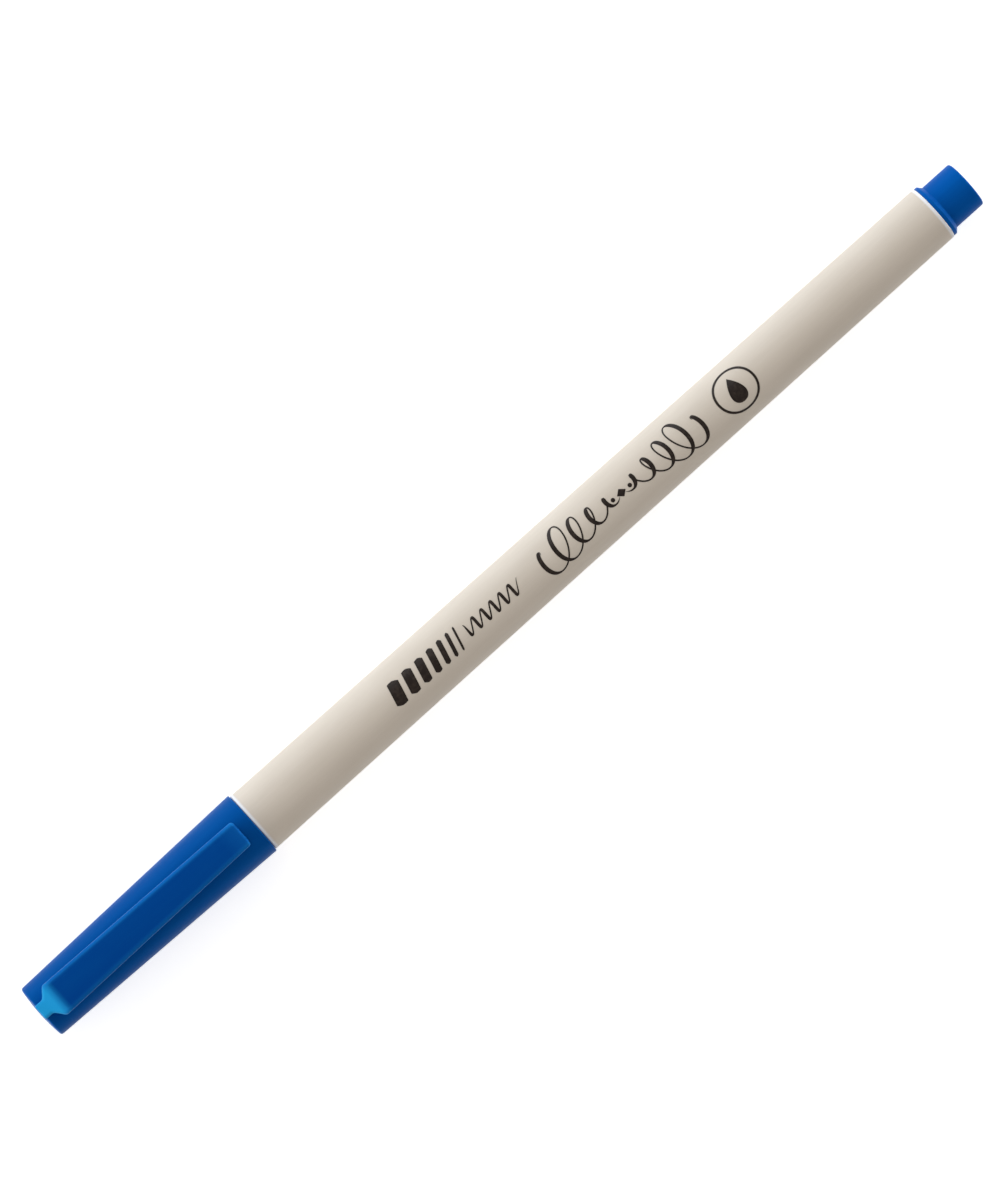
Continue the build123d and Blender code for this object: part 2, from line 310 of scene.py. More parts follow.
@dataclass(frozen=True)
class ClipEdgeWearAndHighlight:
    """Lighter edges and tip of the clip: partly abrasion where it slides over cloth, partly painted
    highlights where the edges and the tip catch light.
    """

    length: float  # of the clip
    widest: float  # distance from its back end to where it is widest
    half_width: float  # there
    tip_half_width: float
    reach: float = 0.75 * MM
    full: float = 0.4  # share of the reach at which the wear starts to fade
    strength: float = 0.40
    tip_reach: float = 3.0 * MM
    tip_strength: float = 0.30

    def __call__(self, graph: Graph) -> Reading:
        """Returns how strong the abrasion and the painted highlights are.

        Args:
            graph: the material's graph.

        Returns:
            The share of the lighter colour that they give.
        """
        along = graph.within("X") * self.length
        across = abs(graph.within("Y") - 0.5) * (2 * self.half_width)
        taper = (self.tip_half_width - self.half_width) / (self.length - self.widest)
        inside = self.half_width + (along - self.widest) * taper - across
        edges = inside.between(self.reach, self.full * self.reach) * self.strength
        return edges + along.between(self.length - self.tip_reach, self.length) * self.tip_strength


@dataclass(frozen=True)
class MouldedPlastic:
    """Moulded plastic: fine spark grain, flow streaks along the pen, hairline scuffs, and lighter corners
    that are partly abrasion and partly painted highlight.
    """

    name: str
    colour: Colour
    deep: Colour  # where the pigment is denser
    wear_and_highlight_colour: Colour  # on corners, as abrasion and a painted highlight, and on lips, as a painted highlight
    roughness: float
    tint: Colour = (1.0, 1.0, 1.0)  # colour of what it mirrors face on
    mirror: float = 0.5  # how strongly it mirrors
    sheen: float = 0.0  # share of the gloss that has the plastic's own colour
    patch: Size = (9 * MM, 3 * MM, 3 * MM)  # patches of denser pigment
    streak: Size = (14 * MM, 0.5 * MM, 0.5 * MM)  # flow streaks
    scuff: Size = (4.5 * MM, 0.07 * MM, 0.07 * MM)  # hairline scuffs
    scuff_from: Point = (0.70, 0.78)  # how strong their noise has to be, from faint to full
    patch_share: float = 0.65  # how much of the density comes from the patches, and not the streaks
    density_range: Point = (0.35, 0.65)  # density at which the colour starts to deepen, and has done
    grain: float = 0.16 * MM
    grain_depth: float = 0.004 * MM
    corner_wear_and_highlight: float = 0.40  # how far corners go to that lighter colour, as abrasion and a painted highlight
    corner_sharpness: Point = (0.515, 0.550)  # how sharp a corner has to be for that, 0.5 being flat
    more_wear_and_highlight: Callable[[Graph], Reading] | None = None  # more abrasion and painted highlights, where the piece's shape calls for them
    ramp_highlight: Colour | None = None  # painted highlight: paler colour where light catches the clip's ramp and neck
    ramp_highlight_run: Point = (0.0, 0.0)  # share of the piece's length where that starts to fade, and has gone

    def build(self) -> bpy.types.Material:
        """Builds the material.

        Returns:
            The material.
        """
        graph = Graph.material(self.name)
        patches = graph.noise(self.patch, detail=3.0)
        streaks = graph.noise(self.streak, detail=2.0)
        grain = graph.noise((self.grain,) * 3, detail=1.5)
        scuffs = graph.noise(self.scuff, detail=0.0).between(*self.scuff_from)
        # Sharp corners go lighter: partly abrasion, partly painted highlights along the edges.
        corner = Reading(graph, graph.node("ShaderNodeNewGeometry").outputs["Pointiness"])
        wear_and_highlight_share = corner.between(*self.corner_sharpness) * (0.4 + patches) * self.corner_wear_and_highlight
        density = self.patch_share * patches + (1 - self.patch_share) * streaks
        colour = graph.blend(density.between(*self.density_range), self.colour, self.deep)
        # Painted highlight on the clip's ramp and neck, fading out along the clip.
        if self.ramp_highlight:
            thin = graph.within("X").between(self.ramp_highlight_run[1], self.ramp_highlight_run[0])
            colour = graph.blend(thin, colour, self.ramp_highlight)
        # Painted highlights on the barrel's lips and on the clip's edges and tip; on the clip partly
        # abrasion too.
        if self.more_wear_and_highlight:
            wear_and_highlight_share = wear_and_highlight_share + self.more_wear_and_highlight(graph)
        colour = graph.blend((wear_and_highlight_share + 0.06 * scuffs).held(), colour, self.wear_and_highlight_colour)
        roughness = self.roughness + 0.10 * (grain - 0.5) + 0.12 * (patches - 0.5) - 0.08 * scuffs
        height = grain + 0.5 * streaks - 0.4 * scuffs
        return graph.finish(
            Base_Color=colour,
            Roughness=roughness.held(),
            Metallic=self.sheen,
            Specular_Tint=(*self.tint, 1.0),
            Specular_IOR_Level=self.mirror,
            Normal=graph.bump(height, self.grain_depth),
        )


@dataclass(frozen=True)
class PrintedInk:
    """Pad-printed ink: slightly uneven in density, with a skin smoother than the plastic under it."""

    name: str
    colour: Colour
    thin: Colour  # where the ink lies thinly
    roughness: float = 0.42
    mottle: float = 0.5 * MM  # size of the uneven cover
    mottle_from: Point = (0.45, 0.85)  # how strong its noise has to be, from thick to thin ink
    pore: float = 0.09 * MM
    pore_from: Point = (0.62, 0.75)
    depth: float = 0.003 * MM

    def build(self) -> bpy.types.Material:
        """Builds the material.

        Returns:
            The material.
        """
        graph = Graph.material(self.name)
        cover = graph.noise((self.mottle,) * 3, detail=3.0)
        pores = graph.noise((self.pore,) * 3, detail=1.0)
        share = (cover.between(*self.mottle_from) + 0.6 * pores.between(*self.pore_from)).held()
        return graph.finish(
            Base_Color=graph.blend(share, self.colour, self.thin),
            Roughness=(self.roughness + 0.25 * (cover - 0.5)).held(),
            Specular_IOR_Level=0.35,
            Normal=graph.bump(cover + 0.5 * pores, self.depth),
        )


@dataclass(frozen=True)
class SoakedFibre:
    """Felt or bonded fibre soaked with ink, its fibres lying mostly along the pen."""

    name: str
    wet: Colour
    dry: Colour
    strand: float = 0.06 * MM
    strand_from: Point = (0.42, 0.72)  # how strong their noise has to be, from wet to dry
    soaked: float = 1.6 * MM  # size of the more and less soaked patches
    depth: float = 0.03 * MM

    def build(self) -> bpy.types.Material:
        """Builds the material.

        Returns:
            The material.
        """
        graph = Graph.material(self.name)
        strands = graph.noise((14 * self.strand, self.strand, self.strand), detail=2.0, roughness=0.6)
        crossing = graph.noise((2.5 * self.strand, 1.5 * self.strand, 1.5 * self.strand), detail=1.0)
        soak = graph.noise((self.soaked,) * 3, detail=2.0)
        dryness = (0.7 * strands.between(*self.strand_from) + 0.3 * soak).held()
        return graph.finish(
            Base_Color=graph.blend(dryness, self.wet, self.dry),
            Roughness=(0.72 + 0.3 * strands * soak).held(),
            Specular_IOR_Level=0.3,
            Sheen_Weight=0.25,
            Normal=graph.bump(0.7 * strands + 0.3 * crossing, self.depth),
        )


@dataclass(frozen=True)
class ClearFilm:
    """Thin clear film with faint stretch marks."""

    name: str
    colour: Colour = (0.86, 0.89, 0.92)
    clearness: float = 0.65
    mark: Size = (6 * MM, 0.3 * MM, 0.3 * MM)
    cloud: float = 3 * MM
    depth: float = 0.006 * MM

    def build(self) -> bpy.types.Material:
        """Builds the material.

        Returns:
            The material.
        """
        graph = Graph.material(self.name)
        marks = graph.noise(self.mark, detail=2.0)
        haze = graph.noise((self.cloud,) * 3, detail=2.0)
        return graph.finish(
            Base_Color=(*self.colour, 1.0),
            Roughness=(0.12 + 0.2 * haze).held(),
            Alpha=(1.0 - self.clearness + 0.25 * (marks - 0.5)).held(),
            Normal=graph.bump(marks, self.depth),
        )


@dataclass(frozen=True)
class StudioPaper:
    """White background paper, evenly lit from below as on a light table."""

    name: str
    colour: Colour = (0.90, 0.90, 0.90)
    glow: float = 0.64
    pulp: float = 0.6 * MM
    depth: float = 0.01 * MM
    shade: float = 0.985  # how bright the paper's darker specks are

    def build(self) -> bpy.types.Material:
        """Builds the material.

        Returns:
            The material.
        """
        graph = Graph.material(self.name)
        pulp = graph.noise((self.pulp,) * 3, detail=3.0)
        shade = tuple(self.shade * c for c in self.colour)
        return graph.finish(
            Base_Color=graph.blend(pulp, self.colour, shade),
            Roughness=(0.85 + 0.1 * pulp).held(),
            Specular_IOR_Level=0.1,
            Emission_Color=(1.0, 1.0, 1.0, 1.0),
            Emission_Strength=self.glow,
            Normal=graph.bump(pulp, self.depth),
        )


# ---------------------------------------------------------------------------------------------------------
# Mesh building
# ---------------------------------------------------------------------------------------------------------


def make_object(
    name: str, points: Sequence[Sequence[float]], faces: Sequence[Sequence[int]]
) -> bpy.types.Object:
    """Makes a smooth-shaded object whose faces all look outwards.

    Args:
        name: the object's name.
        points: its vertices.
        faces: each face's vertex numbers.

    Returns:
        The object, in the scene.
    """
    mesh = bpy.data.meshes.new(name)
    mesh.from_pydata([tuple(p) for p in points], [], faces)
    work = bmesh.new()
    work.from_mesh(mesh)
    bmesh.ops.recalc_face_normals(work, faces=work.faces)
    work.to_mesh(mesh)
    work.free()
    mesh.shade_smooth()
    mesh.set_sharp_from_angle(angle=SHARP_ANGLE)
    made = bpy.data.objects.new(name, mesh)
    bpy.context.scene.collection.objects.link(made)
    return made


def dress(piece: bpy.types.Object, material: bpy.types.Material, slot: Slot) -> None:
    """Gives a piece its material.

    Args:
        piece: the piece.
        material: its material.
        slot: the record's slot that it takes its finish from; not used.
    """
    piece.data.materials.clear()
    piece.data.materials.append(material)


@dataclass(frozen=True)
class Corner:
    """A corner of a turned outline."""

    x: float  # place along the pen
    r: float  # distance from the axis
    round: float = 0.0  # radius that the corner is rounded to


def smoothed(corners: Sequence[Corner], closed: bool, arc_steps: int = 7) -> list[Point]:
    """Rounds an outline's corners and adds points so that long runs shade evenly.

    Args:
        corners: the outline's corners in order.
        closed: whether the last corner joins the first.
        arc_steps: how many steps a rounded corner has.

    Returns:
        The outline's points.
    """
    count = len(corners)
    points: list[Vector] = []
    for i, corner in enumerate(corners):
        here = Vector((corner.x, corner.r))
        if corner.round == 0 or (not closed and i in (0, count - 1)):
            points.append(here)
            continue
        before, after = corners[i - 1], corners[(i + 1) % count]
        back = (Vector((before.x, before.r)) - here).normalized()
        ahead = (Vector((after.x, after.r)) - here).normalized()
        opening = back.angle(ahead)
        centre = here + (back + ahead).normalized() * corner.round / math.sin(opening / 2)
        reach = corner.round / math.tan(opening / 2)
        first, last = here + back * reach - centre, here + ahead * reach - centre
        turn = math.pi - opening
        for k in range(arc_steps + 1):
            share = k / arc_steps
            arm = first * math.sin((1 - share) * turn) + last * math.sin(share * turn)
            points.append(centre + arm / math.sin(turn))
    return spaced(points, closed)


def spaced(
    points: Sequence[Vector], closed: bool, hold: float = 0.05 * MM, longest: float = 4 * MM
) -> list[Point]:
    """Splits long runs, with a point close to each of their ends that keeps the corners' shading local.

    Args:
        points: the outline's points.
        closed: whether the last point joins the first.
        hold: how far those points are from the ends.
        longest: the longest run that isn't split.

    Returns:
        All the points.
    """
    made: list[Point] = []
    runs = len(points) if closed else len(points) - 1
    for i in range(runs):
        start, end = points[i], points[(i + 1) % len(points)]
        length = (end - start).length
        shares = [0.0]
        if length > 6 * hold:
            pieces = math.ceil(length / longest)
            shares += [hold / length, *[k / pieces for k in range(1, pieces)], 1 - hold / length]
        made += [tuple(start.lerp(end, share)) for share in shares]
    if not closed:
        made.append(tuple(points[-1]))
    return made


@dataclass(frozen=True)
class Lathe:
    """Turns outlines about the pen's axis."""

    axis: float  # height of the pen's axis
    segments: int = 144

    def turn(self, name: str, corners: Sequence[Corner]) -> bpy.types.Object:
        """Turns an outline into a closed mesh.

        Args:
            name: the object's name.
            corners: the outline. It goes from the axis to the axis, or else it closes on itself.

        Returns:
            The object.
        """
        closed = corners[0].r > 0
        outline = smoothed(corners, closed)
        points: list[tuple[float, float, float]] = []
        rings: list[list[int]] = []
        for x, r in outline:
            steps = self.segments if r > 0 else 1
            rings.append(list(range(len(points), len(points) + steps)))
            angles = [2 * math.pi * k / self.segments for k in range(steps)]
            points += [(x, r * math.sin(a), self.axis + r * math.cos(a)) for a in angles]
        faces: list[list[int]] = []
        for i in range(len(rings) if closed else len(rings) - 1):
            faces += self.band(rings[i], rings[(i + 1) % len(rings)])
        return make_object(name, points, faces)

    def band(self, near: list[int], far: list[int]) -> list[list[int]]:
        """Joins two rings with faces.

        Args:
            near: the first ring's vertex numbers, or one number on the axis.
            far: the second ring's.

        Returns:
            The faces.
        """
        faces = []
        for k in range(self.segments):
            following = (k + 1) % self.segments
            if len(near) == 1:
                faces.append([near[0], far[k], far[following]])
            elif len(far) == 1:
                faces.append([near[k], far[0], near[following]])
            else:
                faces.append([near[k], far[k], far[following], near[following]])
        return faces


def loft(name: str, rings: Sequence[Sequence[Vector]]) -> bpy.types.Object:
    """Skins a row of rings and closes both ends.

    Args:
        name: the object's name.
        rings: rings of points, all with the same count.

    Returns:
        The object.
    """
    count = len(rings[0])
    points = [point for ring in rings for point in ring]
    faces: list[list[int]] = []
    for i in range(len(rings) - 1):
        near, far = i * count, (i + 1) * count
        for k in range(count):
            following = (k + 1) % count
            faces.append([near + k, near + following, far + following, far + k])
    for first in (0, (len(rings) - 1) * count):
        points.append(sum(points[first:first + count], Vector()) / count)
        centre = len(points) - 1
        faces += [[first + k, first + (k + 1) % count, centre] for k in range(count)]
    return make_object(name, points, faces)


# ---------------------------------------------------------------------------------------------------------
# The pen's places
# ---------------------------------------------------------------------------------------------------------


@dataclass(frozen=True)
class Places:
    """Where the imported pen's pieces are, read from its CAD nodes."""

    start: float  # closed end of the cap
    mouth: float  # mouth of the cap
    neck: float  # front of the barrel's neck
    flange: float  # tail end of the barrel
    end: float  # end of the tail button
    nose: float  # front of the nose cone
    nib_point: float
    nib_end: float
    liner_back: float
    liner_mouth: float
    clip_tip: float
    axis: float  # height of the pen's axis

    @classmethod
    def read(cls) -> "Places":
        """Reads the places from the loaded frame.

        Returns:
            The places.
        """
        cap, barrel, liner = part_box("cap"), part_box("barrel"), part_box("inner_cap")
        return cls(
            start=cap[0].x,
            mouth=cap[1].x,
            neck=barrel[0].x,
            flange=barrel[1].x,
            end=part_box("tail_plug")[1].x,
            nose=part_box("nose_cone")[0].x,
            nib_point=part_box("brush_tip")[0].x,
            nib_end=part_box("nib_shaft")[1].x,
            liner_back=liner[0].x,
            liner_mouth=liner[1].x,
            clip_tip=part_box("clip")[1].x,
            axis=(barrel[0].z + barrel[1].z) / 2,
        )

    def at(self, station: float) -> float:
        """Returns the X of a station."""
        return self.start + station


# ---------------------------------------------------------------------------------------------------------
# Sub-assemblies
# ---------------------------------------------------------------------------------------------------------


@dataclass
class Cap:
    """Outer cap: a tapered shell with a domed end. The clip is moulded in one with it, and Clip makes it."""

    places: Places
    lathe: Lathe
    end_radius: float = 4.05 * MM
    mouth_radius: float = 4.85 * MM
    dome_rise: float = 0.30 * MM
    dome_share: float = 0.8  # share of the end's radius that the dome's points cover
    dome_steps: int = 6
    edge: float = 0.38 * MM
    mouth_edge: float = 0.12 * MM
    gate_radius: float = 0.65 * MM  # dimple that the moulding gate leaves in the middle of the dome
    gate_depth: float = 0.12 * MM
    gate_floor: float = 0.7  # share of its radius that the dimple's floor has
    gate_round: float = 0.08 * MM
    end_wall: float = 1.65 * MM
    bore_radius: float = 3.62 * MM
    bore_chamfer: float = 0.20 * MM
    step_station: float = 24.26 * MM
    liner_seat_radius: float = 3.34 * MM
    liner_back_radius: float = 3.19 * MM
    groove_station: float = 32.5 * MM
    groove_reach: float = 0.7 * MM
    groove_depth: float = 0.08 * MM
    groove_round: float = 0.5 * MM
    inner_edge: float = 0.05 * MM
    seat_edge: float = 0.04 * MM
    inner_corner: float = 0.15 * MM

    def outline(self) -> list[Corner]:
        """Draws the shell's outline, from the outside of the closed end to its inside.

        Returns:
            The outline.
        """
        at, mouth = self.places.at, self.places.mouth
        dome_width = self.end_radius * self.dome_share - self.gate_radius
        radii = [self.gate_radius + dome_width * k / self.dome_steps for k in range(self.dome_steps + 1)]
        dome = [Corner(at(self.dome_rise * (r / self.end_radius) ** 2), r) for r in radii]
        return [
            Corner(at(self.gate_depth), 0),
            Corner(at(self.gate_depth), self.gate_radius * self.gate_floor, self.gate_round),
            *dome,
            Corner(at(self.dome_rise), self.end_radius, self.edge),
            Corner(mouth, self.mouth_radius, self.mouth_edge),
            Corner(mouth, self.bore_radius + self.bore_chamfer, self.inner_edge),
            Corner(mouth - self.bore_chamfer, self.bore_radius, self.inner_edge),
            Corner(at(self.groove_station + self.groove_reach), self.bore_radius),
            Corner(at(self.groove_station), self.bore_radius + self.groove_depth, self.groove_round),
            Corner(at(self.groove_station - self.groove_reach), self.bore_radius),
            Corner(at(self.step_station), self.bore_radius, self.inner_edge),
            Corner(at(self.step_station), self.liner_seat_radius, self.seat_edge),
            Corner(at(self.end_wall), self.liner_back_radius, self.inner_corner),
            Corner(at(self.end_wall), 0),
        ]

    def build(self, plastic: bpy.types.Material) -> bpy.types.Object:
        """Makes and dresses the shell.

        Args:
            plastic: the cap's material.

        Returns:
            The shell.
        """
        shell = self.lathe.turn("cap_shell", self.outline())
        dress(shell, plastic, Slot.CAP)
        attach(shell, Body.CAP.value)
        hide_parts("cap")
        return shell


@dataclass
class Clip:
    """Clip, from its narrow neck at the cap's closed end, over a ramp, along the arm to its swept tip."""

    places: Places
    back_station: float = 0.15 * MM
    back_height: float = 4.36 * MM
    ramp_slope: float = 0.70
    knuckle_station: float = 3.80 * MM
    top_height: float = 6.75 * MM
    arm_thickness: float = 1.40 * MM
    low_rise: float = 0.05 * MM  # how much higher the arm's lower side is at the tip
    knuckle_round: float = 1.50 * MM  # radius between the ramp and the arm's top
    top_drop: float = 0.20 * MM
    fall_station: float = 31.0 * MM
    fall: float = 0.55 * MM  # how far the tip curves down
    nose_length: float = 0.45 * MM  # stretch over which the top rounds down at the very tip
    nose_fall: float = 0.25 * MM
    root_front: float = 4.10 * MM  # front of the part that stands on the cap
    root_fillet: float = 0.40 * MM
    wall_sunk_radius: float = 3.62 * MM  # how deep that part goes into the cap's wall
    back_sunk_radius: float = 2.45 * MM  # and at its back, where the cap is domed
    wall_station: float = 1.45 * MM
    neck_half_width: float = 1.15 * MM
    neck_end: float = 1.30 * MM
    flare_end: float = 2.90 * MM
    root_half_width: float = 2.55 * MM
    tip_half_width: float = 2.025 * MM
    top_edge: float = 0.55 * MM
    low_edge: float = 0.15 * MM
    tip_corner: float = 0.45 * MM
    end_edge: float = 0.16 * MM
    bump_station: float = 32.6 * MM
    bump_radius: float = 0.80 * MM
    bump_low: float = 4.84 * MM
    bend_length: float = 6.0 * MM  # stretch of the arm that bends when the clip is lifted
    arm_start: float = 10.0 * MM
    knuckle_lead: float = 0.6 * MM  # how far before the ramp's corner the sections get closer
    arc_steps: int = 6
    floor_steps: int = 6
    ramp_steps: int = 26
    knuckle_steps: int = 16
    arm_steps: Sequence[int] = (16, 20, 14, 12, 6)  # behind the arm, on it, at the bump, past it, at the tip
    arm_gaps: Sequence[Point] = (  # how far the sections of each of those keep from its two ends
        (0.6 * MM, 0.0),
        (1.0 * MM, 0.3 * MM),
        (0.0, 0.0),
        (0.1 * MM, 0.0),
        (0.04 * MM, 0.01 * MM),
    )
    knuckle_gap: float = 0.05 * MM
    fillet_gap: float = 0.001 * MM

    @property
    def tip_station(self) -> float:
        """Station of the arm's tip."""
        return self.places.clip_tip - self.places.start

    @property
    def ramp_corner(self) -> float:
        """Station where the ramp would meet the arm's top if nothing was rounded."""
        return self.back_station + (self.top_height - self.back_height) / self.ramp_slope

    def top(self, s: float) -> float:
        """Works out where the upper surface is: ramp, round knuckle, arm, and the tip that curves down.

        Args:
            s: a station.

        Returns:
            The surface's height over the axis.
        """
        angle = math.atan(self.ramp_slope)
        reach = self.knuckle_round * math.tan(angle / 2)
        if s <= self.ramp_corner - reach * math.cos(angle):
            return self.back_height + (s - self.back_station) * self.ramp_slope
        centre = self.ramp_corner + reach
        if s <= centre:
            rise = math.sqrt(self.knuckle_round**2 - (s - centre) ** 2)
            return self.top_height - self.knuckle_round + rise
        run = (s - centre) / (self.fall_station - centre)
        share = max(0.0, s - self.fall_station) / (self.tip_station - self.fall_station)
        height = self.top_height - self.top_drop * min(1.0, run) - self.fall * share**2
        rounding = max(0.0, s - (self.tip_station - self.nose_length)) / self.nose_length
        return height - self.nose_fall * (1 - math.sqrt(max(0.0, 1 - rounding**2)))

    def underside(self, s: float) -> float:
        """Works out where the arm's lower surface is, with the grip bump under it.

        Args:
            s: a station.

        Returns:
            The surface's height over the axis.
        """
        flat = self.top_height - self.arm_thickness + self.low_rise * s / self.tip_station
        across = abs(s - self.bump_station)
        if across < self.bump_radius:
            bump = self.bump_low + self.bump_radius - math.sqrt(self.bump_radius**2 - across**2)
            return min(flat, bump)
        return flat

    def half_width(self, s: float) -> float:
        """Works out how wide the clip is: narrow neck, flare, tapered arm, rounded corners at the tip.

        Args:
            s: a station.

        Returns:
            Half of the width.
        """
        arm_share = max(0.0, s - self.flare_end) / (self.tip_station - self.flare_end)
        arm = self.root_half_width + (self.tip_half_width - self.root_half_width) * arm_share
        share = min(1.0, max(0.0, (s - self.neck_end) / (self.flare_end - self.neck_end)))
        eased = share * share * (3 - 2 * share)
        width = self.neck_half_width + (arm - self.neck_half_width) * eased
        into_corner = s - (self.tip_station - self.tip_corner)
        if into_corner > 0:
            width -= self.tip_corner - math.sqrt(max(0.0, self.tip_corner**2 - into_corner**2))
        return width

    def ring(
        self, s: float, low: float | None = None, sunk: bool = False, inset: float = 0.0
    ) -> list[Vector]:
        """Makes a cross-section of the clip.

        Args:
            s: its station.
            low: height of its flat lower side, if it isn't the arm's underside.
            sunk: whether the lower side follows the cap's round wall instead, inside the wall.
            inset: how far the section is drawn in, for a rounded end.

        Returns:
            The section's points, once round.
        """
        half = self.half_width(s) - inset
        high = self.top(s) - inset
        flat = (self.underside(s) if low is None else low) + inset
        upper, lower = self.top_edge - inset, self.low_edge - inset / 2
        quarter = [math.pi / 2 * k / self.arc_steps for k in range(self.arc_steps + 1)]
        side = [(half - upper * (1 - math.sin(a)), high - upper * (1 - math.cos(a))) for a in quarter]
        side += [(half - lower * (1 - math.cos(a)), flat + lower * (1 - math.sin(a))) for a in quarter]
        lanes = [(half - lower) * (1 - k / self.floor_steps) for k in range(1, self.floor_steps + 1)]
        side += [(y, flat) for y in lanes]
        if sunk:
            depth = self.sunk_radius(s)
            shift = len(quarter)
            side[shift:] = [(y, math.sqrt(depth**2 - y**2)) for y, _ in side[shift:]]
        mirrored = [(-y, z) for y, z in side[-2::-1]]
        return [Vector((self.places.at(s), y, self.places.axis + z)) for y, z in side + mirrored]

    def sunk_radius(self, s: float) -> float:
        """Returns how far from the axis the root's lower side is, inside the cap's wall."""
        share = min(1.0, (s - self.back_station) / (self.wall_station - self.back_station))
        return self.back_sunk_radius + (self.wall_sunk_radius - self.back_sunk_radius) * share

    def rings(self) -> list[list[Vector]]:
        """Makes all the cross-sections, closer together where the clip changes quickly.

        Returns:
            The sections, from the neck's back end to the tip.
        """
        quarter = [math.pi / 2 * k / self.arc_steps for k in range(self.arc_steps + 1)]
        edge, back, front = self.end_edge, self.back_station, self.root_front
        ramp_end = self.ramp_corner - self.knuckle_lead
        rings = []
        for a in quarter:
            s = back + edge * (1 - math.cos(a))
            rings.append(self.ring(s, sunk=True, inset=edge * (1 - math.sin(a))))
        root = self.steps(back + 1.5 * edge, ramp_end, self.ramp_steps)
        root += self.steps(ramp_end + self.knuckle_gap, front, self.knuckle_steps)
        rings += [self.ring(s, sunk=True) for s in root]
        fillet_low = self.underside(front) - self.root_fillet
        for a in quarter:
            s = front + self.root_fillet * (1 - math.cos(a)) + self.fillet_gap
            rings.append(self.ring(s, low=fillet_low + self.root_fillet * math.sin(a)))
        bump_start = self.bump_station - self.bump_radius
        bump_end = self.bump_station + self.bump_radius
        last = self.tip_station - edge
        corner = self.tip_station - self.tip_corner
        ends = (front, self.arm_start, bump_start, bump_end, corner, last)
        for first, end, (lead, trail), count in zip(ends, ends[1:], self.arm_gaps, self.arm_steps):
            rings += [self.ring(s) for s in self.steps(first + lead, end - trail, count)]
        rings += [self.ring(last + edge * math.sin(a), inset=edge * (1 - math.cos(a))) for a in quarter]
        return rings

    def share(self, s: float) -> float:
        """Returns the share of the clip's length that is behind a station."""
        return (s - self.back_station) / (self.tip_station - self.back_station)

    def edges(self) -> ClipEdgeWearAndHighlight:
        """Returns the abrasion and the painted highlights on the clip's edges and tip."""
        length, widest = self.tip_station - self.back_station, self.flare_end - self.back_station
        return ClipEdgeWearAndHighlight(length, widest, self.root_half_width, self.tip_half_width)

    @staticmethod
    def steps(first: float, last: float, count: int) -> list[float]:
        """Returns evenly spaced values from first to last."""
        return [first + (last - first) * k / (count - 1) for k in range(count)]

    def build(self, plastic: bpy.types.Material) -> bpy.types.Object:
        """Makes and dresses the clip.

        Args:
            plastic: the cap's material.

        Returns:
            The clip.
        """
        clip = loft("cap_clip", self.rings())
        dress(clip, plastic, Slot.CAP)
        start = self.places.at(self.knuckle_station)
        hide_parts("clip")
        start + self.bend_length
        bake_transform(clip)
        return clip


@dataclass
class Liner:
    """Thin inner cap that keeps the nib moist."""

    places: Places
    lathe: Lathe
    back_radius: float = 3.15 * MM
    front_radius: float = 3.30 * MM
    wall: float = 0.45 * MM
    flange_radius: float = 3.56 * MM
    flange_length: float = 0.80 * MM
    edge: float = 0.04 * MM
    end_round: float = 0.15 * MM
    lip_round: float = 0.12 * MM
    inner_round: float = 0.40 * MM

    def outline(self) -> list[Corner]:
        """Draws the liner's outline, from the outside of its closed end to the inside.

        Returns:
            The outline.
        """
        back, mouth = self.places.liner_back, self.places.liner_mouth
        flange = mouth - self.flange_length
        return [
            Corner(back, 0),
            Corner(back, self.back_radius, self.end_round),
            Corner(flange, self.front_radius, self.edge),
            Corner(flange, self.flange_radius, self.edge),
            Corner(mouth, self.flange_radius, 2 * self.edge),
            Corner(mouth, self.front_radius - self.wall, self.lip_round),
            Corner(back + self.wall, self.back_radius - self.wall, self.inner_round),
            Corner(back + self.wall, 0),
        ]

    def build(self, plastic: bpy.types.Material) -> bpy.types.Object:
        """Makes and dresses the liner.

        Args:
            plastic: its material.

        Returns:
            The liner.
        """
        liner = self.lathe.turn("cap_liner", self.outline())
        dress(liner, plastic, Slot.LINER)
        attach(liner, Body.LINER.value)
        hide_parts("inner_cap")
        return liner


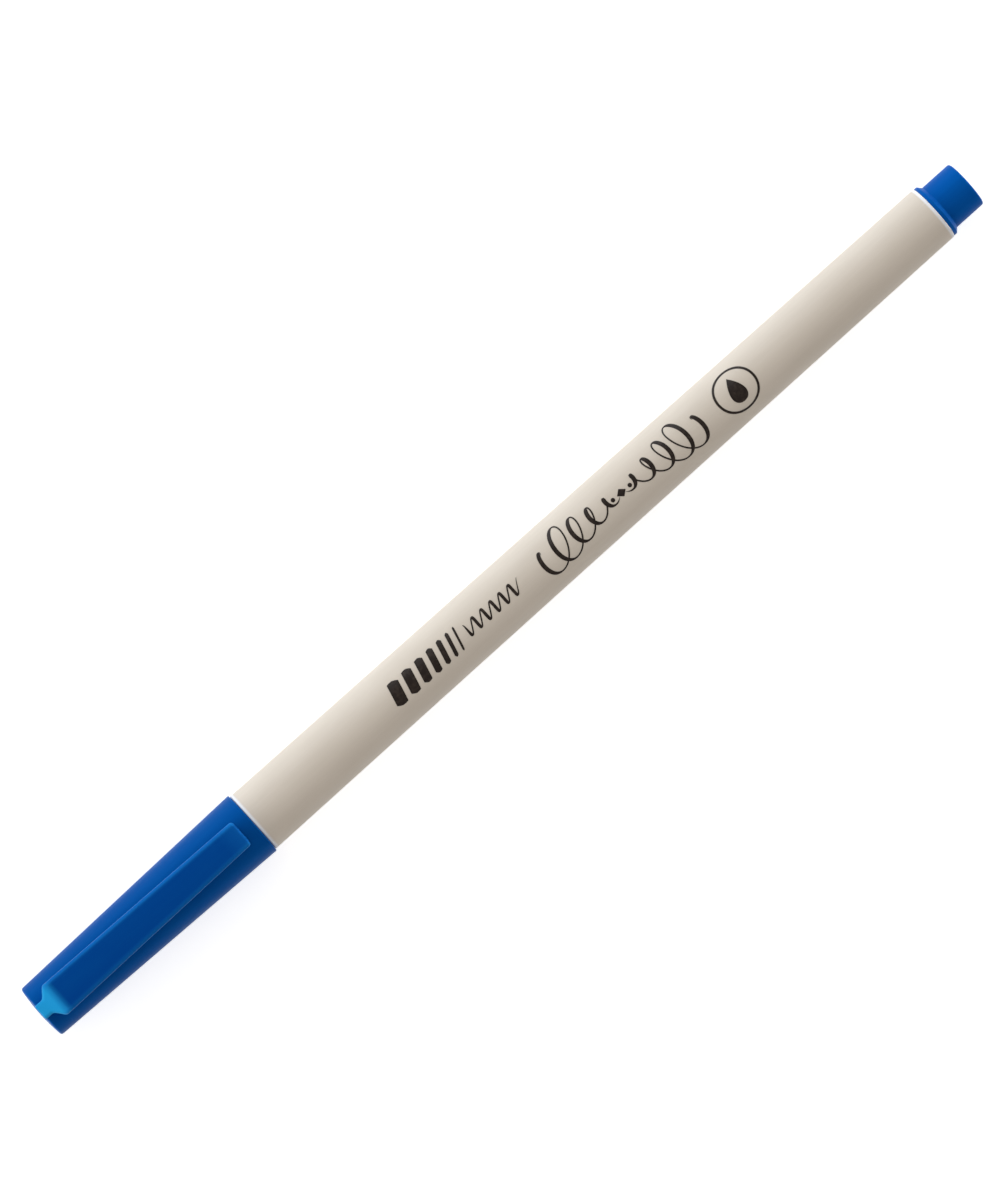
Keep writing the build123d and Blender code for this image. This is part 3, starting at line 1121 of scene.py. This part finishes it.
@dataclass
class Barrel:
    """Tapered barrel with the neck that the cap goes over."""

    places: Places
    lathe: Lathe
    neck_radius: float = 3.50 * MM
    seat_gap: float = 0.05 * MM
    shoulder_radius: float = 4.60 * MM
    tail_radius: float = 4.15 * MM
    edge: float = 0.15 * MM
    neck_edge: float = 0.05 * MM
    neck_fillet: float = 0.10 * MM
    bore_radius: float = 3.42 * MM
    neck_bore_radius: float = 2.60 * MM
    neck_bore_length: float = 8.6 * MM
    bead_station: float = 32.5 * MM
    bead_reach: float = 0.5 * MM
    bead_height: float = 0.08 * MM
    bead_round: float = 0.5 * MM

    @property
    def shoulder(self) -> float:
        """Place of the shoulder that the cap's mouth meets."""
        return self.places.mouth + self.seat_gap

    def radius(self, x: float) -> float:
        """Returns the outer radius at a place along the pen, behind the shoulder."""
        share = (x - self.shoulder) / (self.places.flange - self.shoulder)
        return self.shoulder_radius + (self.tail_radius - self.shoulder_radius) * share

    def outline(self) -> list[Corner]:
        """Draws the barrel's closed outline, along the outside and back along the bore.

        Returns:
            The outline.
        """
        at = self.places.at
        neck, tail, shoulder = self.places.neck, self.places.flange, self.shoulder
        return [
            Corner(neck, self.neck_bore_radius, self.neck_edge),
            Corner(neck, self.neck_radius, self.neck_edge),
            Corner(at(self.bead_station - self.bead_reach), self.neck_radius),
            Corner(at(self.bead_station), self.neck_radius + self.bead_height, self.bead_round),
            Corner(at(self.bead_station + self.bead_reach), self.neck_radius),
            Corner(shoulder, self.neck_radius, self.neck_fillet),
            Corner(shoulder, self.shoulder_radius, self.edge),
            Corner(tail, self.tail_radius, self.edge),
            Corner(tail, self.bore_radius, self.neck_edge),
            Corner(shoulder, self.bore_radius),
            Corner(neck + self.neck_bore_length, self.neck_bore_radius),
        ]

    def build(self, plastic: bpy.types.Material) -> bpy.types.Object:
        """Makes and dresses the barrel.

        Args:
            plastic: its material.

        Returns:
            The barrel.
        """
        shell = self.lathe.turn("barrel_shell", self.outline())
        dress(shell, plastic, Slot.BARREL)
        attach(shell, Body.BARREL.value)
        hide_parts("barrel")
        return shell


@dataclass
class TailPlug:
    """Plug in the barrel's tail, with a thin flange and a plain button."""

    places: Places
    lathe: Lathe
    flange_radius: float = 4.08 * MM
    flange_edge: float = 0.50 * MM
    chamfer: float = 0.50 * MM
    button_radius: float = 3.50 * MM
    button_edge: float = 0.32 * MM
    spigot_length: float = 6.8 * MM
    spigot_radius: float = 3.34 * MM
    bead_radius: float = 3.40 * MM
    bead_reach: float = 0.35 * MM
    bead_round: float = 0.4 * MM
    beads: tuple[float, float] = (154.2 * MM, 156.6 * MM)
    bore_radius: float = 2.40 * MM
    end_wall: float = 1.2 * MM
    gate_radius: float = 0.6 * MM
    gate_depth: float = 0.10 * MM
    seat_gap: float = 0.02 * MM
    edge: float = 0.05 * MM
    flange_round: float = 0.07 * MM
    seat_fillet: float = 0.04 * MM
    button_fillet: float = 0.10 * MM
    spigot_edge: float = 0.15 * MM
    bore_edge: float = 0.10 * MM
    bore_round: float = 0.30 * MM
    gate_floor: float = 0.8  # share of its radius that the gate mark's floor has

    def outline(self) -> list[Corner]:
        """Draws the plug's outline, from the inside of its end round the spigot to the outside.

        Returns:
            The outline.
        """
        at, end, flange = self.places.at, self.places.end, self.places.flange
        spigot = flange - self.spigot_length
        seat = flange + self.seat_gap
        ridges = []
        for station in self.beads:
            ridges.append(Corner(at(station - self.bead_reach), self.spigot_radius))
            ridges.append(Corner(at(station), self.bead_radius, self.bead_round))
            ridges.append(Corner(at(station + self.bead_reach), self.spigot_radius))
        slope = flange + self.flange_edge
        return [
            Corner(end - self.end_wall, 0),
            Corner(end - self.end_wall, self.bore_radius, self.bore_round),
            Corner(spigot, self.bore_radius, self.bore_edge),
            Corner(spigot, self.spigot_radius, self.spigot_edge),
            *ridges,
            Corner(seat, self.spigot_radius, self.seat_fillet),
            Corner(seat, self.flange_radius, self.flange_round),
            Corner(slope, self.flange_radius, self.flange_round),
            Corner(slope + self.chamfer, self.button_radius, self.button_fillet),
            Corner(end, self.button_radius, self.button_edge),
            Corner(end, self.gate_radius, self.edge),
            Corner(end - self.gate_depth, self.gate_radius * self.gate_floor, self.edge),
            Corner(end - self.gate_depth, 0),
        ]

    def build(self, plastic: bpy.types.Material) -> bpy.types.Object:
        """Makes and dresses the plug.

        Args:
            plastic: its material.

        Returns:
            The plug.
        """
        plug = self.lathe.turn("tail_button", self.outline())
        dress(plug, plastic, Slot.PLUG)
        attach(plug, Body.BARREL.value)
        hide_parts("tail_plug")
        return plug


@dataclass
class Nose:
    """Nose cone that holds the nib and seals against the liner."""

    places: Places
    lathe: Lathe
    tip_radius: float = 1.90 * MM
    cone_radius: float = 2.60 * MM
    seal_radius: float = 2.76 * MM
    collar_radius: float = 3.50 * MM
    spigot_radius: float = 2.58 * MM
    seal_start: float = 20.4 * MM
    collar_start: float = 25.2 * MM
    spigot_length: float = 8.0 * MM
    head_bore_radius: float = 1.50 * MM
    head_bore_end: float = 17.6 * MM
    shaft_bore_radius: float = 1.25 * MM
    edge: float = 0.05 * MM
    bore_edge: float = 0.03 * MM
    seal_round: float = 0.08 * MM
    end_round: float = 0.10 * MM
    tip_round: float = 0.20 * MM

    def outline(self) -> list[Corner]:
        """Draws the cone's closed outline, along the outside and back along the nib's seat.

        Returns:
            The outline.
        """
        at, nose, neck = self.places.at, self.places.nose, self.places.neck
        spigot_end = neck + self.spigot_length
        return [
            Corner(nose, self.head_bore_radius, self.edge),
            Corner(nose, self.tip_radius, self.tip_round),
            Corner(at(self.seal_start), self.cone_radius, self.edge),
            Corner(at(self.seal_start), self.seal_radius, self.edge),
            Corner(at(self.collar_start), self.seal_radius, self.seal_round),
            Corner(at(self.collar_start), self.collar_radius, self.tip_round),
            Corner(neck, self.collar_radius, self.edge),
            Corner(neck, self.spigot_radius, self.edge),
            Corner(spigot_end, self.spigot_radius, self.end_round),
            Corner(spigot_end, self.shaft_bore_radius, self.end_round),
            Corner(at(self.head_bore_end), self.shaft_bore_radius, self.bore_edge),
            Corner(at(self.head_bore_end), self.head_bore_radius, self.bore_edge),
        ]

    def build(self, plastic: bpy.types.Material) -> bpy.types.Object:
        """Makes and dresses the cone.

        Args:
            plastic: its material.

        Returns:
            The cone.
        """
        cone = self.lathe.turn("nose", self.outline())
        dress(cone, plastic, Slot.NOSE)
        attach(cone, Body.BARREL.value)
        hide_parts("nose_cone")
        return cone


@dataclass
class Nib:
    """Felt nib in one piece: a slim flexible point, a head in the nose cone and a thin shaft."""

    places: Places
    lathe: Lathe
    head_radius: float = 1.44 * MM
    point_radius: float = 0.10 * MM
    point_length: float = 0.05 * MM  # how far behind the very end the point has that radius
    point_flat: float = 0.6  # share of that radius at the very end
    swell: float = 1.4  # how full the point's sides are
    head_station: float = 14.0 * MM
    head_end: float = 17.5 * MM
    shaft_radius: float = 1.20 * MM
    shaft_chamfer: float = 0.6 * MM
    point_steps: int = 28
    edge: float = 0.05 * MM
    bend_start: float = 14.3 * MM
    bend_end: float = 8.5 * MM

    def outline(self) -> list[Corner]:
        """Draws the nib's outline, from its point to the end of its shaft.

        Returns:
            The outline.
        """
        at, point, end = self.places.at, self.places.nib_point, self.places.nib_end
        start = point + self.point_length
        length = at(self.head_station) - start
        side = []
        for k in range(self.point_steps + 1):
            share = k / self.point_steps
            gain = (self.head_radius - self.point_radius) * (1 - (1 - share) ** self.swell)
            side.append(Corner(start + length * share, self.point_radius + gain))
        return [
            Corner(point, 0),
            Corner(point, self.point_radius * self.point_flat),
            *side,
            Corner(at(self.head_end), self.head_radius, self.edge),
            Corner(at(self.head_end), self.shaft_radius, self.edge),
            Corner(end - self.shaft_chamfer, self.shaft_radius, 2 * self.edge),
            Corner(end, self.shaft_radius - self.shaft_chamfer, self.edge),
            Corner(end, 0),
        ]

    def build(self, felt: bpy.types.Material) -> bpy.types.Object:
        """Makes and dresses the nib.

        Args:
            felt: its material.

        Returns:
            The nib.
        """
        nib = self.lathe.turn("felt_nib", self.outline())
        dress(nib, felt, Slot.FELT)
        start, end = self.places.at(self.bend_start), self.places.at(self.bend_end)
        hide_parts("brush_tip", "nib_shaft")
        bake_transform(nib)
        return nib


@dataclass
class Filler:
    """Fibre filler and the film round it, which keep their CAD shapes."""

    nodes: dict[str, bpy.types.Object]

    def dress(self, fibre: bpy.types.Material, film: bpy.types.Material) -> None:
        """Gives both their materials.

        Args:
            fibre: the filler's material.
            film: the film's.
        """
        for name, material in (("ink_reservoir", fibre), ("reservoir_film", film)):
            for slot in self.nodes[name].material_slots:
                slot.material = material


# ---------------------------------------------------------------------------------------------------------
# Print on the barrel
# ---------------------------------------------------------------------------------------------------------


@dataclass(frozen=True)
class Stroke:
    """A line of ink on the unrolled barrel, with a width that may change along it."""

    path: Callable[[float], Point]  # place along and round the barrel, from a share of the stroke's length
    half_width: Callable[[float, float], float]  # from that share and the stroke's direction there
    steps: int
    closed: bool = False

    def direction(self, share: float) -> float:
        """Works out which way the stroke goes.

        Args:
            share: a share of its length.

        Returns:
            Its direction there, as an angle from the pen's length.
        """
        step = 0.25 / self.steps
        low, high = share - step, share + step
        if not self.closed:
            low, high = max(0.0, low), min(1.0, high)
        first, last = self.path(low), self.path(high)
        return math.atan2(last[1] - first[1], last[0] - first[0])


@dataclass(frozen=True)
class PenPressure:
    """Width that a flexible point gives a stroke: fine as it goes up and full as it comes down."""

    fine: float
    full: float
    taper: float = 0.08  # share of the stroke over which its ends thin out
    thinnest: float = 0.15  # share of the width that the very ends have
    swell: float = 1.4  # how late on the way down the stroke gets full

    def __call__(self, share: float, direction: float) -> float:
        """Returns half of the stroke's width.

        Args:
            share: the share of its length.
            direction: the stroke's direction there.

        Returns:
            Half of the width.
        """
        down = max(0.0, -math.sin(direction)) ** self.swell
        ends = min(1.0, self.thinnest + min(share, 1 - share) / self.taper)
        return 0.5 * (self.fine + (self.full - self.fine) * down) * ends


@dataclass
class Print:
    """Plain ornament printed along the barrel: bars, a wave, a looped flourish and a drop in a ring."""

    barrel: Barrel
    middle: float = 0.0  # X of the pen's middle, from which the marks' places count
    lift: float = 0.016 * MM  # how far the ink stands off the barrel
    climb: float = 0.008 * MM  # how much further it stands off at a stroke's end, so that it crosses itself
    sink: float = 0.020 * MM
    lanes: int = 4  # how many faces a stroke has across it
    bar_start: float = -20.0 * MM
    bar_end: float = -8.2 * MM
    bar_height: float = 3.5 * MM
    bar_widest: float = 1.75 * MM
    bar_step: float = 0.24 * MM
    bar_count: int = 7
    bar_tip: float = 0.02  # share of its width that a bar has at its ends
    bar_swell: float = 14.0  # how quickly it gets full from there
    bar_brush: float = 0.7  # how blunt its ends are
    bar_steps: int = 40
    slant: float = math.radians(14)
    wave_start: float = -7.1 * MM
    wave_length: float = 9.6 * MM
    wave_height: float = 0.95 * MM
    wave_turns: int = 6
    wave_lean: float = 0.28
    wave_steps: int = 300
    wave_pen: PenPressure = PenPressure(0.20 * MM, 0.42 * MM)
    flourish_middle: float = 20.6 * MM
    flourish_reach: float = 15.4 * MM
    loop_height: float = 3.05 * MM
    loop_width: float = 1.75 * MM
    loop_turns: float = 4.75
    loop_phase: float = -0.15 * math.pi  # where on its first loop the chain starts
    loop_lean: float = 0.22
    loop_first: float = 0.34  # size of the first loop, next to the largest
    loop_shrink: float = 0.80  # how much smaller the last loop is than the largest
    loop_swell: float = 0.2  # share of the chain where the loops are largest
    loop_fade: float = 0.9  # how evenly they shrink from there
    loop_run: float = 0.95  # share of the flourish's half that the chain takes up
    loop_lead: float = 0.10  # share of that run that is behind the chain's start
    loop_spread: float = 0.95  # how evenly the loops are spread
    loop_steps: int = 460
    loop_pen: PenPressure = PenPressure(0.22 * MM, 0.60 * MM, 0.04)
    lozenge: Point = (1.5 * MM, 0.62 * MM)  # its length and half of its width
    dot: float = 0.30 * MM  # radius of the dots beside it
    dab_steps: int = 24
    ring_middle: float = 41.0 * MM
    ring_radius: float = 3.08 * MM
    ring_line: float = 0.17 * MM
    ring_steps: int = 128
    drop_height: float = 3.9 * MM
    drop_width: float = 1.55 * MM
    drop_waist: float = 0.55  # how soon the drop narrows to its point
    drop_below: float = 0.49  # share of its height that is before the ring's middle
    drop_steps: int = 48
    hairline: float = 0.005 * MM  # half of the width of a mark's sharp end

    def on_barrel(self, along: float, across: float, lift: float) -> Vector:
        """Wraps a point of the flat drawing round the barrel.

        Args:
            along: its place from the pen's middle.
            across: its distance round the barrel from the top.
            lift: how far it stands off the surface.

        Returns:
            The point in the pen's frame.
        """
        x = self.middle + along
        radius = self.barrel.radius(x)
        angle = across / radius
        height = radius + lift
        return Vector((x, height * math.sin(angle), self.barrel.places.axis + height * math.cos(angle)))

    def ribbon(self, stroke: Stroke, first: int) -> tuple[list[Vector], list[list[int]]]:
        """Turns a stroke into a thin closed ribbon.

        Args:
            stroke: the stroke.
            first: the number that its first vertex will have.

        Returns:
            The ribbon's vertices and faces.
        """
        points: list[Vector] = []
        stations = stroke.steps if stroke.closed else stroke.steps + 1
        across = self.lanes + 1
        for i in range(stations):
            share = i / stroke.steps
            along, around = stroke.path(share)
            direction = stroke.direction(share)
            half = stroke.half_width(share, direction)
            climb = 0.0 if stroke.closed else self.climb * share
            for level in (self.lift + climb, -self.sink):
                for lane in range(across):
                    off = half * (2 * lane / self.lanes - 1)
                    x, y = along - off * math.sin(direction), around + off * math.cos(direction)
                    points.append(self.on_barrel(x, y, level))
        ring = [*range(across), *range(2 * across - 1, across - 1, -1)]
        faces: list[list[int]] = []
        for i in range(stroke.steps):
            near, far = 2 * across * i, 2 * across * ((i + 1) % stations)
            for k, lane in enumerate(ring):
                following = ring[(k + 1) % len(ring)]
                faces.append([near + lane, near + following, far + following, far + lane])
        if not stroke.closed:
            for base in (0, 2 * across * (stations - 1)):
                faces += [
                    [base + k, base + k + 1, base + across + k + 1, base + across + k]
                    for k in range(self.lanes)
                ]
        return points, [[first + v for v in face] for face in faces]

    def bars(self) -> list[Stroke]:
        """Draws a row of slanted bars that get thinner, as a sample of line weights.

        Returns:
            The bars.
        """
        widths = [self.bar_widest - self.bar_step * k for k in range(self.bar_count)]
        gap = (self.bar_end - self.bar_start - sum(widths)) / (self.bar_count - 1)
        strokes = []
        left = self.bar_start
        for width in widths:
            strokes.append(self.bar(left + width / 2, width * math.cos(self.slant)))
            left += width + gap
        return strokes

    def bar(self, middle: float, width: float) -> Stroke:
        """Draws one slanted bar with brushed ends.

        Args:
            middle: its place along the barrel.
            width: its width.

        Returns:
            The bar.
        """
        height, lean = self.bar_height, math.tan(self.slant)

        def path(share: float) -> Point:
            """Returns the bar's middle line."""
            up = (share - 0.5) * height
            return middle + up * lean, up

        def half_width(share: float, direction: float) -> float:
            """Returns half of the bar's width."""
            full = self.bar_tip + (self.bar_swell * share * (1 - share)) ** self.bar_brush
            return 0.5 * width * min(1.0, full)

        return Stroke(path, half_width, self.bar_steps)

    def wave(self) -> Stroke:
        """Draws a fine wave, as a beginner's exercise line.

        Returns:
            The wave.
        """

        def path(share: float) -> Point:
            """Returns the wave's middle line."""
            up = self.wave_height * math.cos(2 * math.pi * self.wave_turns * share)
            return self.wave_start + self.wave_length * share + self.wave_lean * up, up

        return Stroke(path, self.wave_pen, self.wave_steps)

    def loops(self, mirrored: bool) -> Stroke:
        """Draws a chain of loops that get smaller towards the middle of the flourish.

        Args:
            mirrored: whether it is the half nearer to the tail.

        Returns:
            The chain.
        """
        way = -1 if mirrored else 1

        def path(share: float) -> Point:
            """Works out the chain's middle line.

            Args:
                share: a share of its length.

            Returns:
                The point there.
            """
            turn = 2 * math.pi * self.loop_turns * share + self.loop_phase
            opened = math.sin(min(1.0, share / self.loop_swell) * math.pi / 2)
            opening = self.loop_first + (1 - self.loop_first) * opened
            closed = max(0.0, (share - self.loop_swell) / (1 - self.loop_swell)) ** self.loop_fade
            size = opening * (1 - self.loop_shrink * closed)
            up = self.loop_height * size * math.cos(turn)
            run = self.loop_lead + (1 - self.loop_lead) * share**self.loop_spread
            forward = self.loop_run * self.flourish_reach * run
            forward += self.loop_lean * up - self.loop_width * size * math.sin(turn)
            return self.flourish_middle - way * (self.flourish_reach - forward), up

        return Stroke(path, self.loop_pen, self.loop_steps)

    def dab(self, middle: float, length: float, half_width: Callable[[float, float], float]) -> Stroke:
        """Returns a short mark along the barrel, with the middle, length and half width given."""
        return Stroke(lambda share: (middle + (share - 0.5) * length, 0.0), half_width, self.dab_steps)

    @staticmethod
    def disc(share: float) -> float:
        """Returns half of the width of a round mark of radius 1 at a share of its length."""
        return math.sqrt(max(0.0, 1 - (2 * share - 1) ** 2))

    def centrepiece(self) -> list[Stroke]:
        """Draws the lozenge and the two dots between the halves of the flourish.

        Returns:
            The three marks.
        """
        length, half = self.lozenge

        def diamond(share: float, _: float) -> float:
            """Returns half of the lozenge's width."""
            return 2 * half * min(share, 1 - share) + self.hairline

        def spot(share: float, _: float) -> float:
            """Returns half of a dot's width."""
            return self.dot * self.disc(share) + self.hairline

        dots = [self.dab(self.flourish_middle + side * length, 2 * self.dot, spot) for side in (-1, 1)]
        return [self.dab(self.flourish_middle, length, diamond), *dots]

    def ring(self) -> Stroke:
        """Draws the ring of the badge.

        Returns:
            The ring, as a closed stroke.
        """

        def path(share: float) -> Point:
            """Returns the ring's middle line."""
            turn = 2 * math.pi * share
            return self.ring_middle + self.ring_radius * math.cos(turn), self.ring_radius * math.sin(turn)

        return Stroke(path, lambda share, _: self.ring_line, self.ring_steps, closed=True)

    def drop(self) -> Stroke:
        """Draws the drop of ink in the ring.

        Returns:
            The drop.
        """

        def path(share: float) -> Point:
            """Returns the drop's middle line, across the barrel."""
            return self.ring_middle, self.drop_height * (share - self.drop_below)

        def half_width(share: float, _: float) -> float:
            """Returns half of the drop's width."""
            return self.drop_width * self.disc(share) * (1 - share) ** self.drop_waist + self.hairline

        return Stroke(path, half_width, self.drop_steps)

    def build(self, ink: bpy.types.Material) -> list[bpy.types.Object]:
        """Makes and dresses all the marks.

        Args:
            ink: their material.

        Returns:
            The printed pieces.
        """
        groups = {
            "print_bars": self.bars(),
            "print_wave": [self.wave()],
            "print_flourish": [self.loops(False), self.loops(True), *self.centrepiece()],
            "print_badge": [self.ring(), self.drop()],
        }
        made = []
        for name, strokes in groups.items():
            points: list[Vector] = []
            faces: list[list[int]] = []
            for stroke in strokes:
                more_points, more_faces = self.ribbon(stroke, len(points))
                points += more_points
                faces += more_faces
            piece = make_object(name, points, faces)
            dress(piece, ink, Slot.INK)
            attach(piece, Body.BARREL.value)
            made.append(piece)
        return made


# ---------------------------------------------------------------------------------------------------------
# Studio
# ---------------------------------------------------------------------------------------------------------


@dataclass(frozen=True)
class SoftPanel:
    """A large soft light that faces the pen."""

    name: str
    azimuth: float  # degrees from +X towards +Y
    elevation: float  # degrees over the floor
    distance: float
    width: float
    height: float
    brightness: float  # radiance of the panel's face
    colour: Colour = (1.0, 1.0, 1.0)

    def build(self, target: Vector) -> bpy.types.Object:
        """Makes the light.

        Args:
            target: the point that it faces.

        Returns:
            The light.
        """
        azimuth, elevation = math.radians(self.azimuth), math.radians(self.elevation)
        level = math.cos(elevation)
        away = Vector((level * math.cos(azimuth), level * math.sin(azimuth), math.sin(elevation)))
        light = bpy.data.lights.new(self.name, "AREA")
        light.shape = "RECTANGLE"
        light.size = self.width
        light.size_y = self.height
        light.energy = self.brightness * math.pi * self.width * self.height
        light.color = self.colour
        made = bpy.data.objects.new(self.name, light)
        made.location = target + away * self.distance
        made.rotation_euler = away.to_track_quat("Z", "Y").to_euler()
        made.visible_camera = False
        bpy.context.scene.collection.objects.link(made)
        return made


@dataclass(frozen=True)
class Sky:
    """Light from all round, stronger from the side behind the pen and from both of its ends."""

    name: str = "studio"
    even: Colour = (0.2575, 0.2475, 0.2475)
    side: Colour = (1.50, 1.65, 1.85)
    side_power: float = 3.0  # how narrow the stretch of light at the side is
    ends: Colour = (4.5, 4.5, 4.5)
    ends_power: float = 8.0

    def build(self) -> bpy.types.World:
        """Builds the world.

        Returns:
            The world.
        """
        graph = Graph(bpy.data.worlds.new(self.name))
        way = graph.node("ShaderNodeTexCoord").outputs["Generated"]
        side = graph.maths("MAXIMUM", graph.part(way, "Y"), 0.0) ** self.side_power
        ends = abs(graph.part(way, "X")) ** self.ends_power
        light = self.even
        settings = {"operation": "MULTIPLY_ADD"}
        for share, colour in ((side, self.side), (ends, self.ends)):
            light = graph.node("ShaderNodeVectorMath", settings, {0: share, 1: colour, 2: light}).outputs[0]
        background = graph.node("ShaderNodeBackground", sockets={"Color": light})
        graph.node("ShaderNodeOutputWorld", sockets={"Surface": background.outputs[0]})
        return graph.owner


@dataclass
class Studio:
    """White floor, soft light and a camera nearly straight above the pen."""

    places: Places
    camera_height: float = 1.400
    camera_foot: float = 16.0 * MM  # station that the camera is above
    aim: Point = (-0.635 * MM, 0.13 * MM)  # from the pen's middle
    turn: float = math.radians(41.85)  # angle of the pen in the picture
    view_length: float = 159.0 * MM  # length that the picture's long side takes in
    sensor: float = 36.0
    clip_range: Point = (0.05, 20.0)
    floor_size: float = 6.0
    floor_cells: int = 24
    sky: Sky = Sky()
    panel: SoftPanel = SoftPanel("high_panel", 90, 45, 0.70, 0.90, 0.30, 0.82)

    def build_floor(self, paper: bpy.types.Material) -> bpy.types.Object:
        """Makes the floor that the pen lies on.

        Args:
            paper: its material.

        Returns:
            The floor.
        """
        mesh = bpy.data.meshes.new("floor")
        work = bmesh.new()
        cells = self.floor_cells
        bmesh.ops.create_grid(work, x_segments=cells, y_segments=cells, size=self.floor_size / 2)
        work.to_mesh(mesh)
        work.free()
        floor = bpy.data.objects.new("floor", mesh)
        bpy.context.scene.collection.objects.link(floor)
        mesh.materials.append(paper)
        floor.visible_diffuse = False
        return floor

    def build_camera(self) -> bpy.types.Object:
        """Makes the camera, turned about its line of sight so that the pen lies across the picture.

        Returns:
            The camera.
        """
        middle = (self.places.start + self.places.end) / 2
        target = Vector((middle + self.aim[0], self.aim[1], self.places.axis))
        eye = Vector((self.places.at(self.camera_foot), 0, self.places.axis + self.camera_height))
        back = (eye - target).normalized()
        pen_way = Vector((1, 0, 0))
        along = (pen_way - back * pen_way.dot(back)).normalized()
        across = back.cross(along)
        right = along * math.cos(self.turn) - across * math.sin(self.turn)
        up = along * math.sin(self.turn) + across * math.cos(self.turn)
        lens = bpy.data.cameras.new("camera")
        lens.sensor_width = self.sensor
        lens.lens = self.sensor * (eye - target).length / self.view_length
        lens.clip_start, lens.clip_end = self.clip_range
        camera = bpy.data.objects.new("camera", lens)
        camera.matrix_world = Matrix.Translation(eye) @ Matrix((right, up, back)).transposed().to_4x4()
        bpy.context.scene.collection.objects.link(camera)
        bpy.context.scene.camera = camera
        return camera

    def build(self, paper: bpy.types.Material) -> None:
        """Makes the whole studio.

        Args:
            paper: the floor's material.
        """
        self.build_floor(paper)
        self.build_camera()
        bpy.context.scene.world = self.sky.build()
        self.panel.build(Vector(((self.places.start + self.places.end) / 2, 0, self.places.axis)))
        bpy.context.scene.view_settings.view_transform = "Standard"


# ---------------------------------------------------------------------------------------------------------
# The pen's finishes and the whole scene
# ---------------------------------------------------------------------------------------------------------


def cap_blue() -> MouldedPlastic:
    """Mixes the blue of the cap's shell.

    Returns:
        The finish.
    """
    return MouldedPlastic(
        "cap_blue",
        colour=(0.0016, 0.086, 0.342),
        deep=(0.0012, 0.078, 0.330),
        # Lighter blue of abraded corners and of painted highlights.
        wear_and_highlight_colour=(0.010, 0.190, 0.560),
        roughness=0.36,
        tint=(0.02, 0.55, 0.70),
        mirror=0.04,
        sheen=0.08,
    )


def grey_plastic(name: str, more_wear_and_highlight: Callable[[Graph], Reading] | None = None) -> MouldedPlastic:
    """Mixes the warm light grey of the barrel and the nose.

    Args:
        name: the material's name.
        more_wear_and_highlight: painted highlights that it has besides those on its corners.

    Returns:
        The finish.
    """
    return MouldedPlastic(
        name,
        colour=(0.745, 0.660, 0.548),
        deep=(0.715, 0.632, 0.522),
        # Near-white of the painted highlights on the lips, and of abraded corners.
        wear_and_highlight_colour=(0.95, 0.96, 0.98),
        roughness=0.48,
        mirror=0.4,
        more_wear_and_highlight=more_wear_and_highlight,
    )


def liner_plastic() -> MouldedPlastic:
    """Mixes the milky, uncoloured plastic of the liner.

    Returns:
        The finish.
    """
    return MouldedPlastic(
        "liner_milky",
        colour=(0.80, 0.80, 0.77),
        deep=(0.74, 0.74, 0.71),
        wear_and_highlight_colour=(0.9, 0.9, 0.9),
        roughness=0.45,
    )


def build_pen(places: Places, nodes: dict[str, bpy.types.Object]) -> None:
    """Builds and dresses every piece of the pen.

    Args:
        places: where the pen's pieces are.
        nodes: the CAD nodes by name.
    """
    lathe = Lathe(places.axis)
    barrel = Barrel(places, lathe)
    clip = Clip(places)
    blue = cap_blue()
    clip_blue = replace(
        blue,
        name="clip_blue",
        colour=(0.0016, 0.074, 0.336),
        deep=(0.0012, 0.066, 0.324),
        # Painted highlight on the clip's ramp and neck, besides its lighter edges and tip.
        ramp_highlight=(0.012, 0.275, 0.580),
        ramp_highlight_run=(clip.share(2.5 * MM), clip.share(4.0 * MM)),
        more_wear_and_highlight=clip.edges(),
    )
    plug_blue = replace(
        blue, name="plug_blue", colour=(0.0020, 0.104, 0.425), deep=(0.0015, 0.092, 0.400), corner_wear_and_highlight=0.10
    )
    # Painted highlights on the barrel's lips, at the cap's mouth and at the tail.
    grey = grey_plastic("barrel_grey", LipHighlights((barrel.shoulder, places.flange))).build()
    nose_grey = grey_plastic("nose_grey").build()
    felt = SoakedFibre("nib_felt", wet=(0.002, 0.02, 0.14), dry=(0.01, 0.09, 0.36)).build()
    fibre = SoakedFibre(
        "filler_fibre", wet=(0.004, 0.035, 0.2), dry=(0.03, 0.14, 0.45), strand=0.05 * MM
    ).build()
    film = ClearFilm("filler_film").build()
    ink = PrintedInk("print_ink", colour=(0.016, 0.009, 0.006), thin=(0.05, 0.034, 0.024)).build()
    pieces = [
        Cap(places, lathe).build(blue.build()),
        clip.build(clip_blue.build()),
        Liner(places, lathe).build(liner_plastic().build()),
        barrel.build(grey),
        TailPlug(places, lathe).build(plug_blue.build()),
        Nose(places, lathe).build(nose_grey),
        Nib(places, lathe).build(felt),
        *Print(barrel).build(ink),
    ]
    Filler(nodes).dress(fibre, film)
    for piece in pieces:
        LOG.info("%s: %d vertices", piece.name, len(piece.data.vertices))


def main() -> None:
    """Builds the pen and its studio."""
    logging.basicConfig(level=logging.INFO, format="%(name)s %(message)s")
    places = Places.read()
    build_pen(places, frame["nodes"])
    Studio(places).build(StudioPaper("studio_paper").build())
    bpy.context.view_layer.update()


if __name__ == "__main__":
    main()
